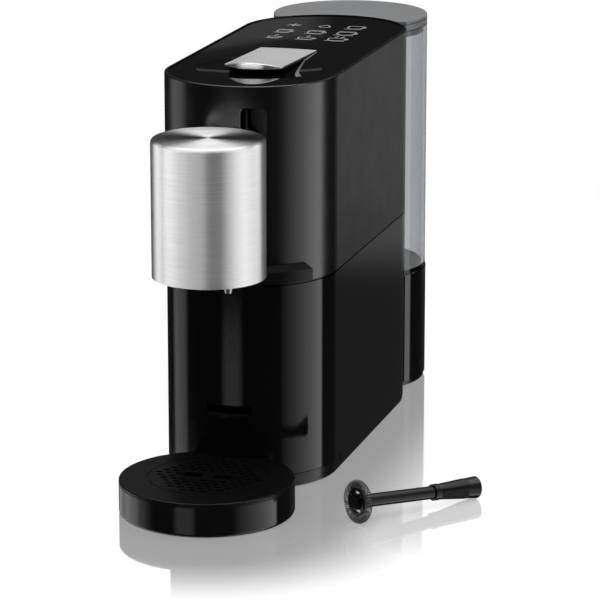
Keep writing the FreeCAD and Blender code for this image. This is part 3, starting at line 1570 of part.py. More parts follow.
def half_arc(start, tangent, end):
    """The arc that leaves a point along a tangent and ends at another point."""
    chord = end - start
    along = FreeCAD.Vector(chord)
    along.normalize()
    lean = tangent - along * tangent.dot(along)
    lean.normalize()
    bow = chord.Length / 2 * math.tan(tangent.getAngle(along) / 2)
    return Part.Arc(start, (start + end) / 2 + lean * bow, end).toShape()


def biarc(start, start_tangent, end, end_tangent):
    """Two arcs that join two points with given tangents and meet smoothly between them."""
    span = end - start
    total = start_tangent + end_tangent
    bend = 2 * (1 - start_tangent.dot(end_tangent))
    reach = (math.sqrt(span.dot(total) ** 2 + bend * span.dot(span)) - span.dot(total)) / bend
    joint = (start + end + (start_tangent - end_tangent) * reach) / 2
    return half_arc(start, start_tangent, joint), half_arc(end, end_tangent * -1, joint)


def make_whisk_coil():
    """Spring wound round the wheel's rim: an open ring of turns, one unbroken wire."""
    turns = SIZES["coil_turns"]
    coil_r, wire_r = SIZES["coil_r"], SIZES["coil_wire_r"]
    ring_r = SIZES["wheel_r"] - coil_r - wire_r
    round_all = 2 * math.pi * (1 - 0.5 / turns)

    def at(share):
        sweep = round_all * share
        wind = turns * 2 * math.pi * share
        r = ring_r + coil_r * math.cos(wind)
        return FreeCAD.Vector(r * math.cos(sweep), r * math.sin(sweep), coil_r * math.sin(wind))

    def heading(share):
        tiny = 1e-5
        way = at(share + tiny) - at(share - tiny)
        way.normalize()
        return way

    stops = [k / (4 * turns) for k in range(4 * turns + 1)]
    edges = []
    for here, there in zip(stops, stops[1:]):
        edges.extend(biarc(at(here), heading(here), at(there), heading(there)))
    path = Part.Wire(Part.sortEdges(edges)[0])
    section = Part.Wire([Part.Circle(at(0), heading(0), wire_r).toShape()])
    coil = doc.addObject("Part::Feature", "whisk_coil")
    coil.Label = "whisk_coil"
    coil.Shape = path.makePipeShell([section], True, False)
    lay_whisk(coil)
    pieces.append(coil)
    print("whisk coil: least gap between turns", round(least_gap(at, turns) - 2 * wire_r, 2))


def least_gap(at, turns):
    """Least distance between the middles of the wire half a turn or more apart."""
    per_turn = 36
    points = [at(k / (turns * per_turn)) for k in range(turns * per_turn + 1)]
    apart = per_turn // 2
    return min(
        (points[i] - points[j]).Length for i in range(len(points)) for j in range(i + apart, len(points))
    )


def build():
    make_base_plate()
    make_base_fittings()
    make_lower_housing()
    make_mid_deck()
    make_upper_cover()
    make_top_panel()
    make_brew_frame()
    make_extraction_plate()
    make_capsule_cage()
    make_thermoblock()
    make_pump()
    make_flow_meter()
    make_boards()
    make_rails()
    make_hoses()
    make_lever()
    make_lever_core()
    make_lever_crank()
    make_lever_bracket()
    make_head_shell()
    make_head_inside()
    make_spindle()
    make_carriage()
    make_slide_tab()
    make_drawer_front()
    make_capsule_bin()
    make_drip_tray()
    make_drip_grid()
    make_pedestal()
    make_gland()
    make_water_socket()
    make_tank()
    make_tank_lid()
    make_whisk_shaft()
    make_whisk_grip()
    make_whisk_wheel()
    make_whisk_coil()


def check():
    """Stops if any object failed or any sub-part isn't a sound solid."""
    doc.recompute()
    for thing in doc.Objects:
        if "Invalid" in thing.State or "Error" in thing.State:
            raise RuntimeError(f"{thing.Label} failed: {thing.State}")
    for piece in pieces:
        if piece.Shape.isNull() or not piece.Shape.isValid() or not piece.Shape.Solids:
            raise RuntimeError(f"{piece.Label} isn't a sound solid")


def write():
    os.makedirs("parts", exist_ok=True)
    for piece in pieces:
        piece.Shape.exportStep(f"parts/{piece.Label}.step")


build()
check()
write()
print(len(pieces), "sub-parts written")
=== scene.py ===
import math

import bpy
import numpy as np
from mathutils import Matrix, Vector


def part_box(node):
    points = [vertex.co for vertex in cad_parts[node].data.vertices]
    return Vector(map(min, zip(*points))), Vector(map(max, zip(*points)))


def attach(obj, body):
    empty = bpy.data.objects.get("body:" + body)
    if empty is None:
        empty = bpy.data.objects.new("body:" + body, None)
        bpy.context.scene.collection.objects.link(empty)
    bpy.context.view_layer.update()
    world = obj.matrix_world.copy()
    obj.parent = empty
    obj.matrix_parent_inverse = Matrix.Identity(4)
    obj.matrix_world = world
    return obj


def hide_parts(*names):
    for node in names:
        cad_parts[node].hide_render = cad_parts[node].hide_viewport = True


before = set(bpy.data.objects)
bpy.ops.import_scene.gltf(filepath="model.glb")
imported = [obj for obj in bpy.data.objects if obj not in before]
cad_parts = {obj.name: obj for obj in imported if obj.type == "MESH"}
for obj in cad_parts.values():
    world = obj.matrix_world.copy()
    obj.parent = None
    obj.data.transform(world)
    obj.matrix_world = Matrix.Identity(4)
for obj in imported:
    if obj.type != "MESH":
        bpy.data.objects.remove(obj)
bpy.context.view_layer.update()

# %% [markdown]
# # A pod coffee machine, dressed
# The solids of the machine are already here, in metres, with the front towards -Y.
# This lesson gives each of them its finish, adds the printed marks and the fine trim,
# and lights the machine as a small product studio would.

# %% Load
solids = {name: bpy.data.objects[name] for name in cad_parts}

# %% [markdown]
# ## The camera
# The machine was taken from a little above and from its right, with a long lens.
# A long lens far away keeps the upright edges nearly parallel, which is how appliances are usually shown.
# The place and the turn are numbers here rather than a constraint, so nothing moves them later.

# %% Camera
lens = bpy.data.cameras.new("camera")
lens.sensor_width = 36.0
lens.lens = 194.15
lens.clip_end = 20.0
camera = bpy.data.objects.new("camera", lens)
camera.location = (0.65195, -2.16923, 0.6916)
camera.rotation_euler = (math.radians(75.434), 0.0, math.radians(16.412))
bpy.context.scene.collection.objects.link(camera)
bpy.context.scene.camera = camera
bpy.context.scene.view_settings.view_transform = "Standard"
print("camera", round(camera.location.length, 3), "m away")

# %% [markdown]
# ## Small helpers for node trees
# A shader tree is easier to read as a few named steps than as a long list of links.
# `Tree` adds a node, sets its plain values and joins whatever is a socket, and gives back the output.

# %% Node helpers
class Tree:
    """A node tree that is written as nested calls: a value is set, a socket is joined."""

    def __init__(self, node_tree):
        self.nodes = node_tree.nodes
        self.links = node_tree.links

    def feed(self, socket, value):
        if isinstance(value, bpy.types.NodeSocket):
            self.links.new(value, socket)
        else:
            socket.default_value = value

    def add(self, kind, inputs=None, output=0, **settings):
        node = self.nodes.new(kind)
        for name, value in settings.items():
            setattr(node, name, value)
        for key, value in (inputs or {}).items():
            self.feed(node.inputs[key], value)
        return node.outputs[output]

    def math(self, operation, a, b=0.0):
        return self.add("ShaderNodeMath", {0: a, 1: b}, operation=operation)

    def step(self, value, low, high, to_low=0.0, to_high=1.0):
        """A smooth step from to_low at low to to_high at high."""
        ends = {0: value, 1: low, 2: high, 3: to_low, 4: to_high}
        return self.add("ShaderNodeMapRange", ends, interpolation_type="SMOOTHSTEP")

    def ramp(self, value, low, high, to_low=0.0, to_high=1.0):
        """A straight run from to_low at low to to_high at high."""
        return self.add("ShaderNodeMapRange", {0: value, 1: low, 2: high, 3: to_low, 4: to_high})


# %% [markdown]
# ## The studio round the machine
# Glossy black and brushed steel show their surroundings more than themselves, so the surroundings are drawn first.
# Soft boxes could be lamps, but a world that is bright in a few compass directions gives the same upright bands
# of light on every round surface, and is smoother.
# Bearings are in degrees, from the front (-Y) towards the right (+X). Upright walls mirror what lies below the horizon,
# so each light has its own place in height too. What the camera sees straight, or through the clear tank, is white.

# %% World
ROOM_DARK = 0.018
ROOF_LIGHT = 2.0

world = bpy.data.worlds.new("studio")
world.use_nodes = True
world.node_tree.nodes.clear()
sky = Tree(world.node_tree)
split = sky.nodes.new("ShaderNodeSeparateXYZ")
sky.feed(split.inputs[0], sky.add("ShaderNodeTexCoord", output="Generated"))
towards_front = sky.math("MULTIPLY", split.outputs["Y"], -1.0)
bearing = sky.math("DEGREES", sky.math("ARCTAN2", split.outputs["X"], towards_front))
behind = sky.math("ABSOLUTE", bearing)
height = sky.math("DEGREES", sky.math("ARCSINE", split.outputs["Z"]))


def product(*factors):
    """All the factors multiplied."""
    whole = factors[0]
    for factor in factors[1:]:
        whole = sky.math("MULTIPLY", whole, factor)
    return whole


def total(*parts):
    """All the parts added."""
    whole = parts[0]
    for part in parts[1:]:
        whole = sky.math("ADD", whole, part)
    return whole


# %% [markdown]
# The boxes are products of smooth steps in bearing and in height. The low ones are narrow and draw the bands on the
# black walls, and a wide soft roof gives the plain light from above. A dim wall at the side greys the flat flank,
# a back light over the machine adds to the streak on the head's top, and a faint sheen lies on the rear of the panel.

# %% Soft boxes
left_low = product(sky.step(bearing, -122.0, -108.0), sky.step(bearing, -89.0, -79.0, 0.6, 0.0),
                   sky.step(height, -4.0, 4.0, 1.0, 0.0))
left_floor = product(sky.step(bearing, -150.0, -140.0), sky.step(bearing, -80.0, -55.0, 0.6, 0.0),
                     sky.step(height, -17.8, -17.4, 1.0, 0.0))
front_low = product(sky.step(bearing, -29.0, -19.0), sky.step(bearing, -5.0, 5.0, 0.55, 0.0),
                    sky.step(height, -21.0, -19.5), sky.step(height, -15.2, -14.6, 1.0, 0.0))
right_box = product(sky.ramp(bearing, 52.0, 113.0), sky.step(bearing, 118.0, 123.0, 1.0, 0.0),
                    sky.step(height, -4.0, 8.0, 1.8, 0.6))
side_wall = product(sky.step(behind, 156.0, 160.0), sky.step(height, -14.3, -13.3, 0.02, 0.21),
                    sky.step(height, -4.0, 0.0, 1.0, 0.0))
back_light = product(sky.step(behind, 130.0, 155.0), sky.step(height, 18.0, 26.0, 0.0, 0.26),
                     sky.step(height, 52.0, 68.0, 1.0, 0.0))
above_edge = sky.math("SUBTRACT", height, sky.ramp(bearing, -163.4, -161.9, 9.93, 10.13))
panel_sheen = product(sky.step(bearing, -164.3, -163.5), sky.step(bearing, -145.0, -135.0, 0.085, 0.0),
                      sky.step(above_edge, -0.03, 0.03, 1.0, 0.0), sky.step(height, 7.0, 8.0))
roof = sky.step(split.outputs["Z"], 0.62, 0.85, 0.0, ROOF_LIGHT)
studio_light = total(left_low, left_floor, front_low, right_box, side_wall, back_light, panel_sheen, roof,
                     ROOM_DARK)

path = sky.nodes.new("ShaderNodeLightPath")
seen = sky.math("MAXIMUM", path.outputs["Is Camera Ray"], path.outputs["Is Transmission Ray"])
white = sky.add("ShaderNodeBackground", {"Color": (1.0, 1.0, 1.0, 1.0), "Strength": 1.0})
lit = sky.add("ShaderNodeBackground", {"Color": (1.0, 1.0, 1.0, 1.0), "Strength": studio_light})
both = sky.add("ShaderNodeMixShader", {0: seen, 1: lit, 2: white})
sky.feed(sky.nodes.new("ShaderNodeOutputWorld").inputs["Surface"], both)
bpy.context.scene.world = world
print("studio:", len(world.node_tree.nodes), "nodes")

# %% [markdown]
# ## The floor
# The machine stands on a polished white table that shows it upside down, fainter further away.
# Three things make the table: a glow that only the camera sees, a little plain white that takes the machine's shadow,
# and a mirror. Where nothing stands in the way they add up to white, so the table has no visible edge.
# New surfaces are grids of points; `grid_object` turns such a grid into a mesh and can close it either way round.

# %% Grid surfaces
def grid_object(name, points, closed_u=False, closed_v=False):
    """A quad mesh over a grid of points (rows, columns, 3).

    closed_u joins the last column to the first, closed_v the last row to the first."""
    rows, columns = points.shape[:2]
    index = np.arange(rows * columns).reshape(rows, columns)
    if closed_u:
        index = np.concatenate([index, index[:, :1]], axis=1)
    if closed_v:
        index = np.concatenate([index, index[:1]], axis=0)
    corners = [index[:-1, :-1], index[:-1, 1:], index[1:, 1:], index[1:, :-1]]
    quads = np.stack(corners, axis=-1).reshape(-1, 4)
    mesh = bpy.data.meshes.new(name)
    mesh.from_pydata(points.reshape(-1, 3).tolist(), [], quads.tolist())
    mesh.shade_smooth()
    piece = bpy.data.objects.new(name, mesh)
    bpy.context.scene.collection.objects.link(piece)
    return piece


def round_disc(name, radius, rings=24, spokes=96):
    """A flat disc: x = r cos a, y = r sin a, for radii from nearly nothing to the rim."""
    angles = np.linspace(0, 2 * np.pi, spokes, endpoint=False)
    r, a = np.meshgrid(np.linspace(1e-4, radius, rings), angles, indexing="ij")
    return grid_object(name, np.stack([r * np.cos(a), r * np.sin(a), np.zeros_like(r)], axis=-1), closed_u=True)


# %% [markdown]
# The mirror is strongest close to the machine and to the whisk. Both are long in plan, so the distance is measured
# from a straight line along each of them.

# %% Floor
FLOOR_RADIUS = 1.55
TABLE_GLOW = 0.71
TABLE_WHITE = 0.20
MACHINE_LINE = ((0.01, -0.21), (0.0, 0.19))
WHISK_LINE = ((0.1056, -0.1764), (0.168, -0.1005))
MIRROR_BY_MACHINE, MIRROR_BY_WHISK = 0.66, 0.4
TABLE_POLISH = 0.05


def from_line(tree, start, end):
    """Distance in plan from a straight line: how far P is from the nearest point of the line."""
    run = np.subtract(end, start)
    place = tree.add("ShaderNodeTexCoord", output="Object")
    flat = tree.add("ShaderNodeVectorMath", {0: place, 1: (1.0, 1.0, 0.0)}, operation="MULTIPLY")
    arm = tree.add("ShaderNodeVectorMath", {0: flat, 1: (*start, 0.0)}, operation="SUBTRACT")
    per_run = (*(run / run.dot(run)), 0.0)
    share = tree.add("ShaderNodeVectorMath", {0: arm, 1: per_run}, output="Value", operation="DOT_PRODUCT")
    on_line = tree.ramp(share, 0.0, 1.0)
    nearest = tree.add("ShaderNodeVectorMath", {0: (*run, 0.0), "Scale": on_line}, operation="SCALE")
    return tree.add("ShaderNodeVectorMath", {0: arm, 1: nearest}, output="Value", operation="DISTANCE")


def floor_finish():
    """A glow for the camera, a plain white and a mirror, and nothing but the glow far out."""
    finish = bpy.data.materials.new("white_table")
    finish.use_nodes = True
    finish.node_tree.nodes.clear()
    tree = Tree(finish.node_tree)
    path = tree.nodes.new("ShaderNodeLightPath")
    seen = tree.math("MAXIMUM", path.outputs["Is Camera Ray"], path.outputs["Is Transmission Ray"])
    glow = tree.add("ShaderNodeEmission", {"Strength": tree.math("MULTIPLY", seen, TABLE_GLOW)})
    plain = tree.add("ShaderNodeBsdfDiffuse", {"Color": (TABLE_WHITE, TABLE_WHITE, TABLE_WHITE, 1.0)})
    base = tree.add("ShaderNodeAddShader", {0: glow, 1: plain})
    mirror = tree.add("ShaderNodeBsdfGlossy", {"Color": (1.0, 1.0, 1.0, 1.0), "Roughness": TABLE_POLISH})
    by_machine = tree.step(from_line(tree, *MACHINE_LINE), 0.07, 0.17, MIRROR_BY_MACHINE, 0.0)
    by_whisk = tree.step(from_line(tree, *WHISK_LINE), 0.03, 0.10, MIRROR_BY_WHISK, 0.0)
    table = tree.add("ShaderNodeMixShader", {0: tree.math("MAXIMUM", by_machine, by_whisk), 1: base, 2: mirror})
    reach = tree.add("ShaderNodeVectorMath", {0: tree.add("ShaderNodeTexCoord", output="Object")},
                     output="Value", operation="LENGTH")
    white = tree.add("ShaderNodeEmission", {"Strength": 1.0})
    far = tree.math("MULTIPLY", tree.step(reach, 0.45, 0.9), seen)
    table = tree.add("ShaderNodeMixShader", {0: far, 1: table, 2: white})
    tree.feed(tree.nodes.new("ShaderNodeOutputMaterial").inputs["Surface"], table)
    return finish


floor = round_disc("floor", FLOOR_RADIUS)
floor.data.materials.append(floor_finish())
floor.visible_glossy = False
print("floor radius", FLOOR_RADIUS, "m")

# %% [markdown]
# The table's mirror needs something white to show, so four tall lamps stand round it and one hangs above,
# and they light the table alone.
# The silver lever faces the dark parts of the room, and gets lamps of its own: one on each side for its flat top
# and a low one in front for its lip. Cards would do too, but a lamp doesn't stand in the way of what the walls
# mirror.

# %% Lamps
def lamp_for(receiver, name, place, turn, size, glow, tilt=90.0):
    """A flat lamp that lights one thing, upright unless tilted, and shines with power = pi area glow."""
    lamp = bpy.data.lights.new(name, "AREA")
    lamp.shape = "RECTANGLE"
    lamp.size, lamp.size_y = size
    lamp.energy = math.pi * size[0] * size[1] * glow
    stand = bpy.data.objects.new(name, lamp)
    stand.location = place
    stand.rotation_euler = (math.radians(tilt), 0.0, math.radians(turn))
    stand.visible_camera = False
    stand.visible_transmission = False
    bpy.context.scene.collection.objects.link(stand)
    only = bpy.data.collections.new(name + "_lights")
    only.objects.link(receiver)
    stand.light_linking.receiver_collection = only


TABLE_LAMP = {"size": (3.4, 1.2), "glow": 1.0}
LEVER_LAMP = {"size": (1.4, 0.42), "glow": 0.52}
LIP_LAMP = {"size": (1.4, 0.42), "glow": 5.0}

for name, place, turn in (("front", (0.0, -1.6, 0.6), 0.0), ("right", (1.6, 0.0, 0.6), 90.0),
                          ("back", (0.0, 1.6, 0.6), 180.0), ("left", (-1.6, 0.0, 0.6), -90.0)):
    lamp_for(floor, "table_lamp_" + name, place, turn, **TABLE_LAMP)
lamp_for(floor, "table_lamp_top", (0.0, 0.0, 1.2), 0.0, (3.4, 3.4), 1.0, tilt=0.0)
lamp_for(solids["lever_plate"], "lip_lamp", (-0.35, -0.9, 0.14), 0.0, **LIP_LAMP)
for name, place, turn in (("back", (-0.15, 0.8, 0.46), 180.0), ("right", (0.8, 0.0, 0.46), 90.0),
                          ("front", (0.0, -0.9, 0.56), 0.0), ("left", (-0.8, 0.0, 0.46), -90.0)):
    lamp_for(solids["lever_plate"], "lever_lamp_" + name, place, turn, **LEVER_LAMP)
print("lamps:", len(bpy.data.lights))

# %% [markdown]
# The brushed head is grey where the room is dark, so lamps of its own stand round its front and sides.
# Each has a bearing, a width in degrees and a strength, and on the brushed side neighbours run into one another.

# %% Head lamps
HEAD_AXIS = (0.0, -0.1712, 0.0)
HEAD_LAMP_REACH, HEAD_LAMP_LEVEL, HEAD_LAMP_TALL = 1.2, 0.38, 0.74
HEAD_LAMPS = {"outer_left": (-102.0, 24.0, 1.4), "far_left": (-63.0, 34.0, 2.3), "left": (-35.0, 22.0, 1.8),
              "front": (-6.0, 36.0, 1.1), "right": (72.0, 46.0, 0.75), "far_right": (130.0, 22.0, 2.2)}

for name, (bearing_of_lamp, span, glow) in HEAD_LAMPS.items():
    turn = math.radians(bearing_of_lamp)
    place = (HEAD_LAMP_REACH * math.sin(turn), HEAD_AXIS[1] - HEAD_LAMP_REACH * math.cos(turn), HEAD_LAMP_LEVEL)
    width = 2.0 * HEAD_LAMP_REACH * math.tan(math.radians(span / 2.0))
    lamp_for(solids["head_shell"], "head_lamp_" + name, place, bearing_of_lamp, (width, HEAD_LAMP_TALL), glow)
print("head lamps:", len(HEAD_LAMPS))

# %% [markdown]
# ## Finishes
# Every finish starts from one Principled shader. What is the same all over a surface is set on its socket;
# what varies, such as grain, brushing or wear, comes from noise on the Object coordinates, in metres,
# so a scale of 4000 is a grain of about a quarter of a millimetre.

# %% Finish helpers
def new_finish(name, **sockets):
    """A material whose Principled sockets are set by name, with _ for a space."""
    finish = bpy.data.materials.new(name)
    finish.use_nodes = True
    shader = finish.node_tree.nodes["Principled BSDF"]
    for socket, value in sockets.items():
        shader.inputs[socket.replace("_", " ")].default_value = value
    return finish, Tree(finish.node_tree), shader


def grey(level, tint=0.0):
    """A grey of the given level, cooler with more tint."""
    return (level, level, level * (1.0 + tint), 1.0)


def grain(tree, scale, stretch=(1.0, 1.0, 1.0), detail=2.0):
    """Noise on Object coordinates, stretched along the axes."""
    place = tree.add("ShaderNodeTexCoord", output="Object")
    place = tree.add("ShaderNodeMapping", {"Vector": place, "Scale": stretch})
    return tree.add("ShaderNodeTexNoise", {"Vector": place, "Scale": scale, "Detail": detail})


def skin(tree, shader, height, depth, strength=1.0):
    """Lets a height pattern stand out of the surface by depth metres."""
    bump = tree.add("ShaderNodeBump", {"Strength": strength, "Distance": depth, "Height": height})
    tree.links.new(bump, shader.inputs["Normal"])


def wear(tree, shader, pattern, low, high):
    """Lets the roughness wander between two values with a pattern."""
    tree.links.new(tree.ramp(pattern, 0.3, 0.7, low, high), shader.inputs["Roughness"])


def dress(finish, *names):
    """Puts a finish on solids."""
    for name in names:
        slots = solids[name].data.materials
        slots.clear()
        slots.append(finish)


# %% [markdown]
# ### Satin grey cover
# The upper cover is moulded with a fine spark-eroded texture, which spreads the soft boxes into broad bands.

# %% Satin grey
satin_grey, tree, shader = new_finish("satin_grey", Base_Color=grey(0.006, 0.05), IOR=1.7)
skin(tree, shader, grain(tree, 5200.0), 2.0e-5, 0.35)
wear(tree, shader, grain(tree, 60.0), 0.21, 0.25)
dress(satin_grey, "upper_cover")
print("satin grey on the upper cover")

# %% [markdown]
# ### Gloss black
# The lower body, the pedestal and the tray are polished black, with the faint waviness of a large moulding.
# Mouldings are polished outside only, so whatever lies inside the body's outline is left matt. The outline is
# a fixed distance from a straight spine between its two round ends, which is quick to measure.

# %% Gloss black
BODY_SPINE = ((0.0, -0.071), (0.0, 0.107))

gloss_black, tree, shader = new_finish("gloss_black", Base_Color=grey(0.0042), IOR=1.47)
skin(tree, shader, grain(tree, 45.0, detail=1.0), 4.0e-5, 0.25)
polish = tree.ramp(grain(tree, 180.0), 0.3, 0.7, 0.05, 0.09)
matt_inside = tree.step(from_line(tree, *BODY_SPINE), 0.0594, 0.0600, 0.85, 0.0)
tree.links.new(tree.math("MAXIMUM", polish, matt_inside), shader.inputs["Roughness"])
dress(gloss_black, "lower_housing", "drawer_front", "tank_pedestal", "drip_tray")

panel_black, tree, shader = new_finish("panel_black", Base_Color=grey(0.004), IOR=1.47)
skin(tree, shader, grain(tree, 30.0, detail=1.0), 4.0e-6, 0.2)
wear(tree, shader, grain(tree, 220.0), 0.015, 0.035)
dress(panel_black, "top_panel")

tray_satin, tree, shader = new_finish("tray_satin", Base_Color=grey(0.004), IOR=1.32)
skin(tree, shader, grain(tree, 3800.0), 2.5e-5, 0.4)
wear(tree, shader, grain(tree, 90.0), 0.27, 0.33)
dress(tray_satin, "drip_grid")
print("gloss and satin blacks")

# %% [markdown]
# ### Brushed steel
# The head is a turned cap: its side is brushed round and round and its top is spun, so a lamp shows as a
# stretched streak across the brushing. The brushing runs along cross(Z, P - axis), on the side and the top alike,
# and the streak is turned a quarter of a turn from it. The spun top is a little smoother than the side,
# and the brushing also shows as fine lighter and darker lines.

# %% Brushed steel
def brush_round(tree, shader, axis):
    """Gives the shader the direction cross(Z, P - axis), which runs round an upright axis."""
    place = tree.add("ShaderNodeTexCoord", output="Object")
    arm = tree.add("ShaderNodeVectorMath", {0: place, 1: axis}, operation="SUBTRACT")
    along = tree.add("ShaderNodeVectorMath", {0: (0.0, 0.0, 1.0), 1: arm}, operation="CROSS_PRODUCT")
    tree.links.new(along, shader.inputs["Tangent"])
    return arm


def turned_lines(tree, arm, scale):
    """Fine lines round the axis: noise of the height and of the distance from the axis."""
    parts = tree.nodes.new("ShaderNodeSeparateXYZ")
    tree.feed(parts.inputs[0], arm)
    level = tree.add("ShaderNodeCombineXYZ", {"X": parts.outputs["X"], "Y": parts.outputs["Y"]})
    reach = tree.add("ShaderNodeVectorMath", {0: level}, output="Value", operation="LENGTH")
    sweep = tree.math("ARCTAN2", parts.outputs["Y"], parts.outputs["X"])
    wander = tree.math("MULTIPLY", sweep, 0.001)
    lines = tree.add("ShaderNodeCombineXYZ", {"X": reach, "Y": wander, "Z": parts.outputs["Z"]})
    return tree.add("ShaderNodeTexNoise", {"Vector": lines, "Scale": scale, "Detail": 3.0})


brushed_steel, tree, shader = new_finish(
    "brushed_steel", Base_Color=grey(0.85), Metallic=1.0, Roughness=0.48, Anisotropic=0.9,
    Anisotropic_Rotation=0.25)
arm = brush_round(tree, shader, HEAD_AXIS)
lines = turned_lines(tree, arm, 1300.0)
facing_up = tree.nodes.new("ShaderNodeSeparateXYZ")
tree.feed(facing_up.inputs[0], tree.add("ShaderNodeNewGeometry", output="Normal"))
spun_top = tree.step(facing_up.outputs["Z"], 0.7, 0.98, 0.0, -0.10)
brushed = tree.math("ADD", tree.ramp(lines, 0.3, 0.7, 0.44, 0.52), spun_top)
tree.links.new(brushed, shader.inputs["Roughness"])
shade = tree.ramp(lines, 0.3, 0.7, 0.78, 0.90)
tree.links.new(tree.add("ShaderNodeCombineColor", {0: shade, 1: shade, 2: shade}), shader.inputs["Base Color"])
dress(brushed_steel, "head_shell")
print("brushed steel on the head")

# %% [markdown]
# ### Silver lever, bright steel, heater alloy
# The lever is blasted and anodised; screws and outlet are plain bright steel, the head's rails and the lever pin
# are steel painted near black as painted shade, so that they read as dark as the recesses they stand in, and the heater
# is cast.

# %% Other metals
silver_lever, tree, shader = new_finish(
    "silver_lever", Base_Color=grey(0.80, 0.01), Metallic=1.0, Roughness=0.26)
wear(tree, shader, grain(tree, 2400.0), 0.23, 0.29)
dress(silver_lever, "lever_plate")

steel_bright, tree, shader = new_finish(
    "steel_bright", Base_Color=grey(0.62), Metallic=1.0, Roughness=0.4)
wear(tree, shader, grain(tree, 900.0, (1.0, 1.0, 0.15)), 0.34, 0.5)
dress(steel_bright, "base_screws", "coffee_outlet", "whisk_spindle", "whisk_motor", "extraction_plate")

# Painted shade: near-black steel for the rails and the pin, so that they read as dark as the shaded slot round them.
dark_steel, tree, shader = new_finish("dark_steel", Base_Color=grey(0.05), Metallic=1.0, Roughness=0.4)
wear(tree, shader, grain(tree, 900.0, (1.0, 1.0, 0.15)), 0.34, 0.46)
dress(dark_steel, "head_rail_left", "head_rail_right", "lever_pin")

heater_alloy, tree, shader = new_finish(
    "heater_alloy", Base_Color=grey(0.42, 0.03), Metallic=1.0, Roughness=0.5)
skin(tree, shader, grain(tree, 1400.0, detail=4.0), 8.0e-5, 0.5)
wear(tree, shader, grain(tree, 400.0), 0.42, 0.6)
dress(heater_alloy, "thermoblock")
print("metals")

# %% [markdown]
# ### Clear tank and its lid
# The tank is smoke-tinted clear plastic. A thick clear wall bends what lies behind it, so the shader is a real
# transmission with the refraction of plastic. Its tint is partly inside the wall, which darkens the edges where one
# looks along the wall. The lid is milky and lets less through.

# %% Clear plastics
smoke_clear, tree, shader = new_finish(
    "smoke_clear", Base_Color=(0.73, 0.74, 0.75, 1.0), IOR=1.3, Transmission_Weight=1.0)
depth_tint = tree.add("ShaderNodeVolumeAbsorption", {"Color": (0.0, 0.02, 0.04, 1.0), "Density": 80.0})
tree.links.new(depth_tint, tree.nodes["Material Output"].inputs["Volume"])
skin(tree, shader, grain(tree, 25.0, detail=1.0), 3.0e-5, 0.2)
wear(tree, shader, grain(tree, 120.0), 0.02, 0.06)
dress(smoke_clear, "tank_shell")

lid_grey, tree, shader = new_finish(
    "lid_grey", Base_Color=(0.355, 0.364, 0.373, 1.0), IOR=1.4, Transmission_Weight=0.3)
skin(tree, shader, grain(tree, 2500.0), 2.0e-5, 0.3)
wear(tree, shader, grain(tree, 90.0), 0.3, 0.4)
dress(lid_grey, "tank_lid")
print("clear plastics")

# %% [markdown]
# ### Plain plastics, rubber and boards
# Inner parts are bare moulded plastic, the feet and hoses are rubber, and the boards are green laminate.

# %% Plain plastics
black_plastic, tree, shader = new_finish("black_plastic", Base_Color=grey(0.007), IOR=1.42)
skin(tree, shader, grain(tree, 2600.0), 1.0e-5, 0.3)
wear(tree, shader, grain(tree, 120.0), 0.17, 0.25)
dress(black_plastic, "base_plate", "brew_frame", "capsule_bin", "capsule_cage", "flow_meter", "head_carriage",
      "head_floor", "lever_bracket", "lever_core", "lever_crank", "mid_deck", "pump", "slide_tab", "tank_valve",
      "water_socket")

black_rubber, tree, shader = new_finish("black_rubber", Base_Color=grey(0.018), IOR=1.5)
skin(tree, shader, grain(tree, 1800.0, detail=4.0), 5.0e-5, 0.5)
wear(tree, shader, grain(tree, 200.0), 0.6, 0.78)
dress(black_rubber, "rubber_feet", "brew_hose", "feed_hose", "pressure_hose", "cord_gland", "socket_seal",
      "pump_saddle_front", "pump_saddle_rear")

circuit_green, tree, shader = new_finish("circuit_green", Base_Color=(0.02, 0.11, 0.05, 1.0), IOR=1.5)
skin(tree, shader, grain(tree, 900.0), 4.0e-5, 0.4)
wear(tree, shader, grain(tree, 500.0), 0.25, 0.45)
dress(circuit_green, "power_board", "touch_board")
print("plain plastics")

# %% [markdown]
# ### The whisk
# Shaft, grip and wheel are polished black; the coil is drawn spring steel, darkened.

# %% Whisk finishes
whisk_black, tree, shader = new_finish("whisk_black", Base_Color=grey(0.004), IOR=1.42)
skin(tree, shader, grain(tree, 300.0, detail=1.0), 1.0e-5, 0.2)
wear(tree, shader, grain(tree, 400.0), 0.06, 0.11)
dress(whisk_black, "whisk_shaft", "whisk_grip", "whisk_wheel")

whisk_wire, tree, shader = new_finish("whisk_wire", Base_Color=grey(0.17), Metallic=1.0, Roughness=0.3)
wear(tree, shader, grain(tree, 1500.0), 0.22, 0.4)
dress(whisk_wire, "whisk_coil")
print("whisk")

# %% [markdown]
# ## The whisk's fine parts
# The spring on the wheel is wound so closely that it looks like a striped ring, and the grip is a ribbed sleeve.
# The solid spring has fewer and thicker turns, so a finer one stands for it here. Both parts are made upright,
# round their own axis, and then laid along the whisk by three directions at right angles.

# %% Whisk frame
WHISK_HUB = np.array([0.1056, -0.1764, 0.015])
WHISK_LENGTH, WHISK_DROP, WHISK_TURN = 0.0987, 0.0075, math.radians(50.5)


def whisk_directions():
    """Two directions across the whisk and one along it, from the wheel to the grip."""
    flat = math.sqrt(WHISK_LENGTH**2 - WHISK_DROP**2)
    along = np.array([flat * math.cos(WHISK_TURN), flat * math.sin(WHISK_TURN), -WHISK_DROP]) / WHISK_LENGTH
    across = np.cross([0.0, 0.0, 1.0], along)
    across /= np.linalg.norm(across)
    return np.stack([across, np.cross(along, across), along])


def lay_along_whisk(points):
    """Points made upright round the Z axis, in metres, laid along the whisk."""
    return points @ whisk_directions() + WHISK_HUB


# %% [markdown]
# The spring is a tube round a line that winds about a ring. At turn s of the ring the line stands off the ring's core
# in the direction n(s). That direction is at right angles to the line, so it serves as one side of the section.

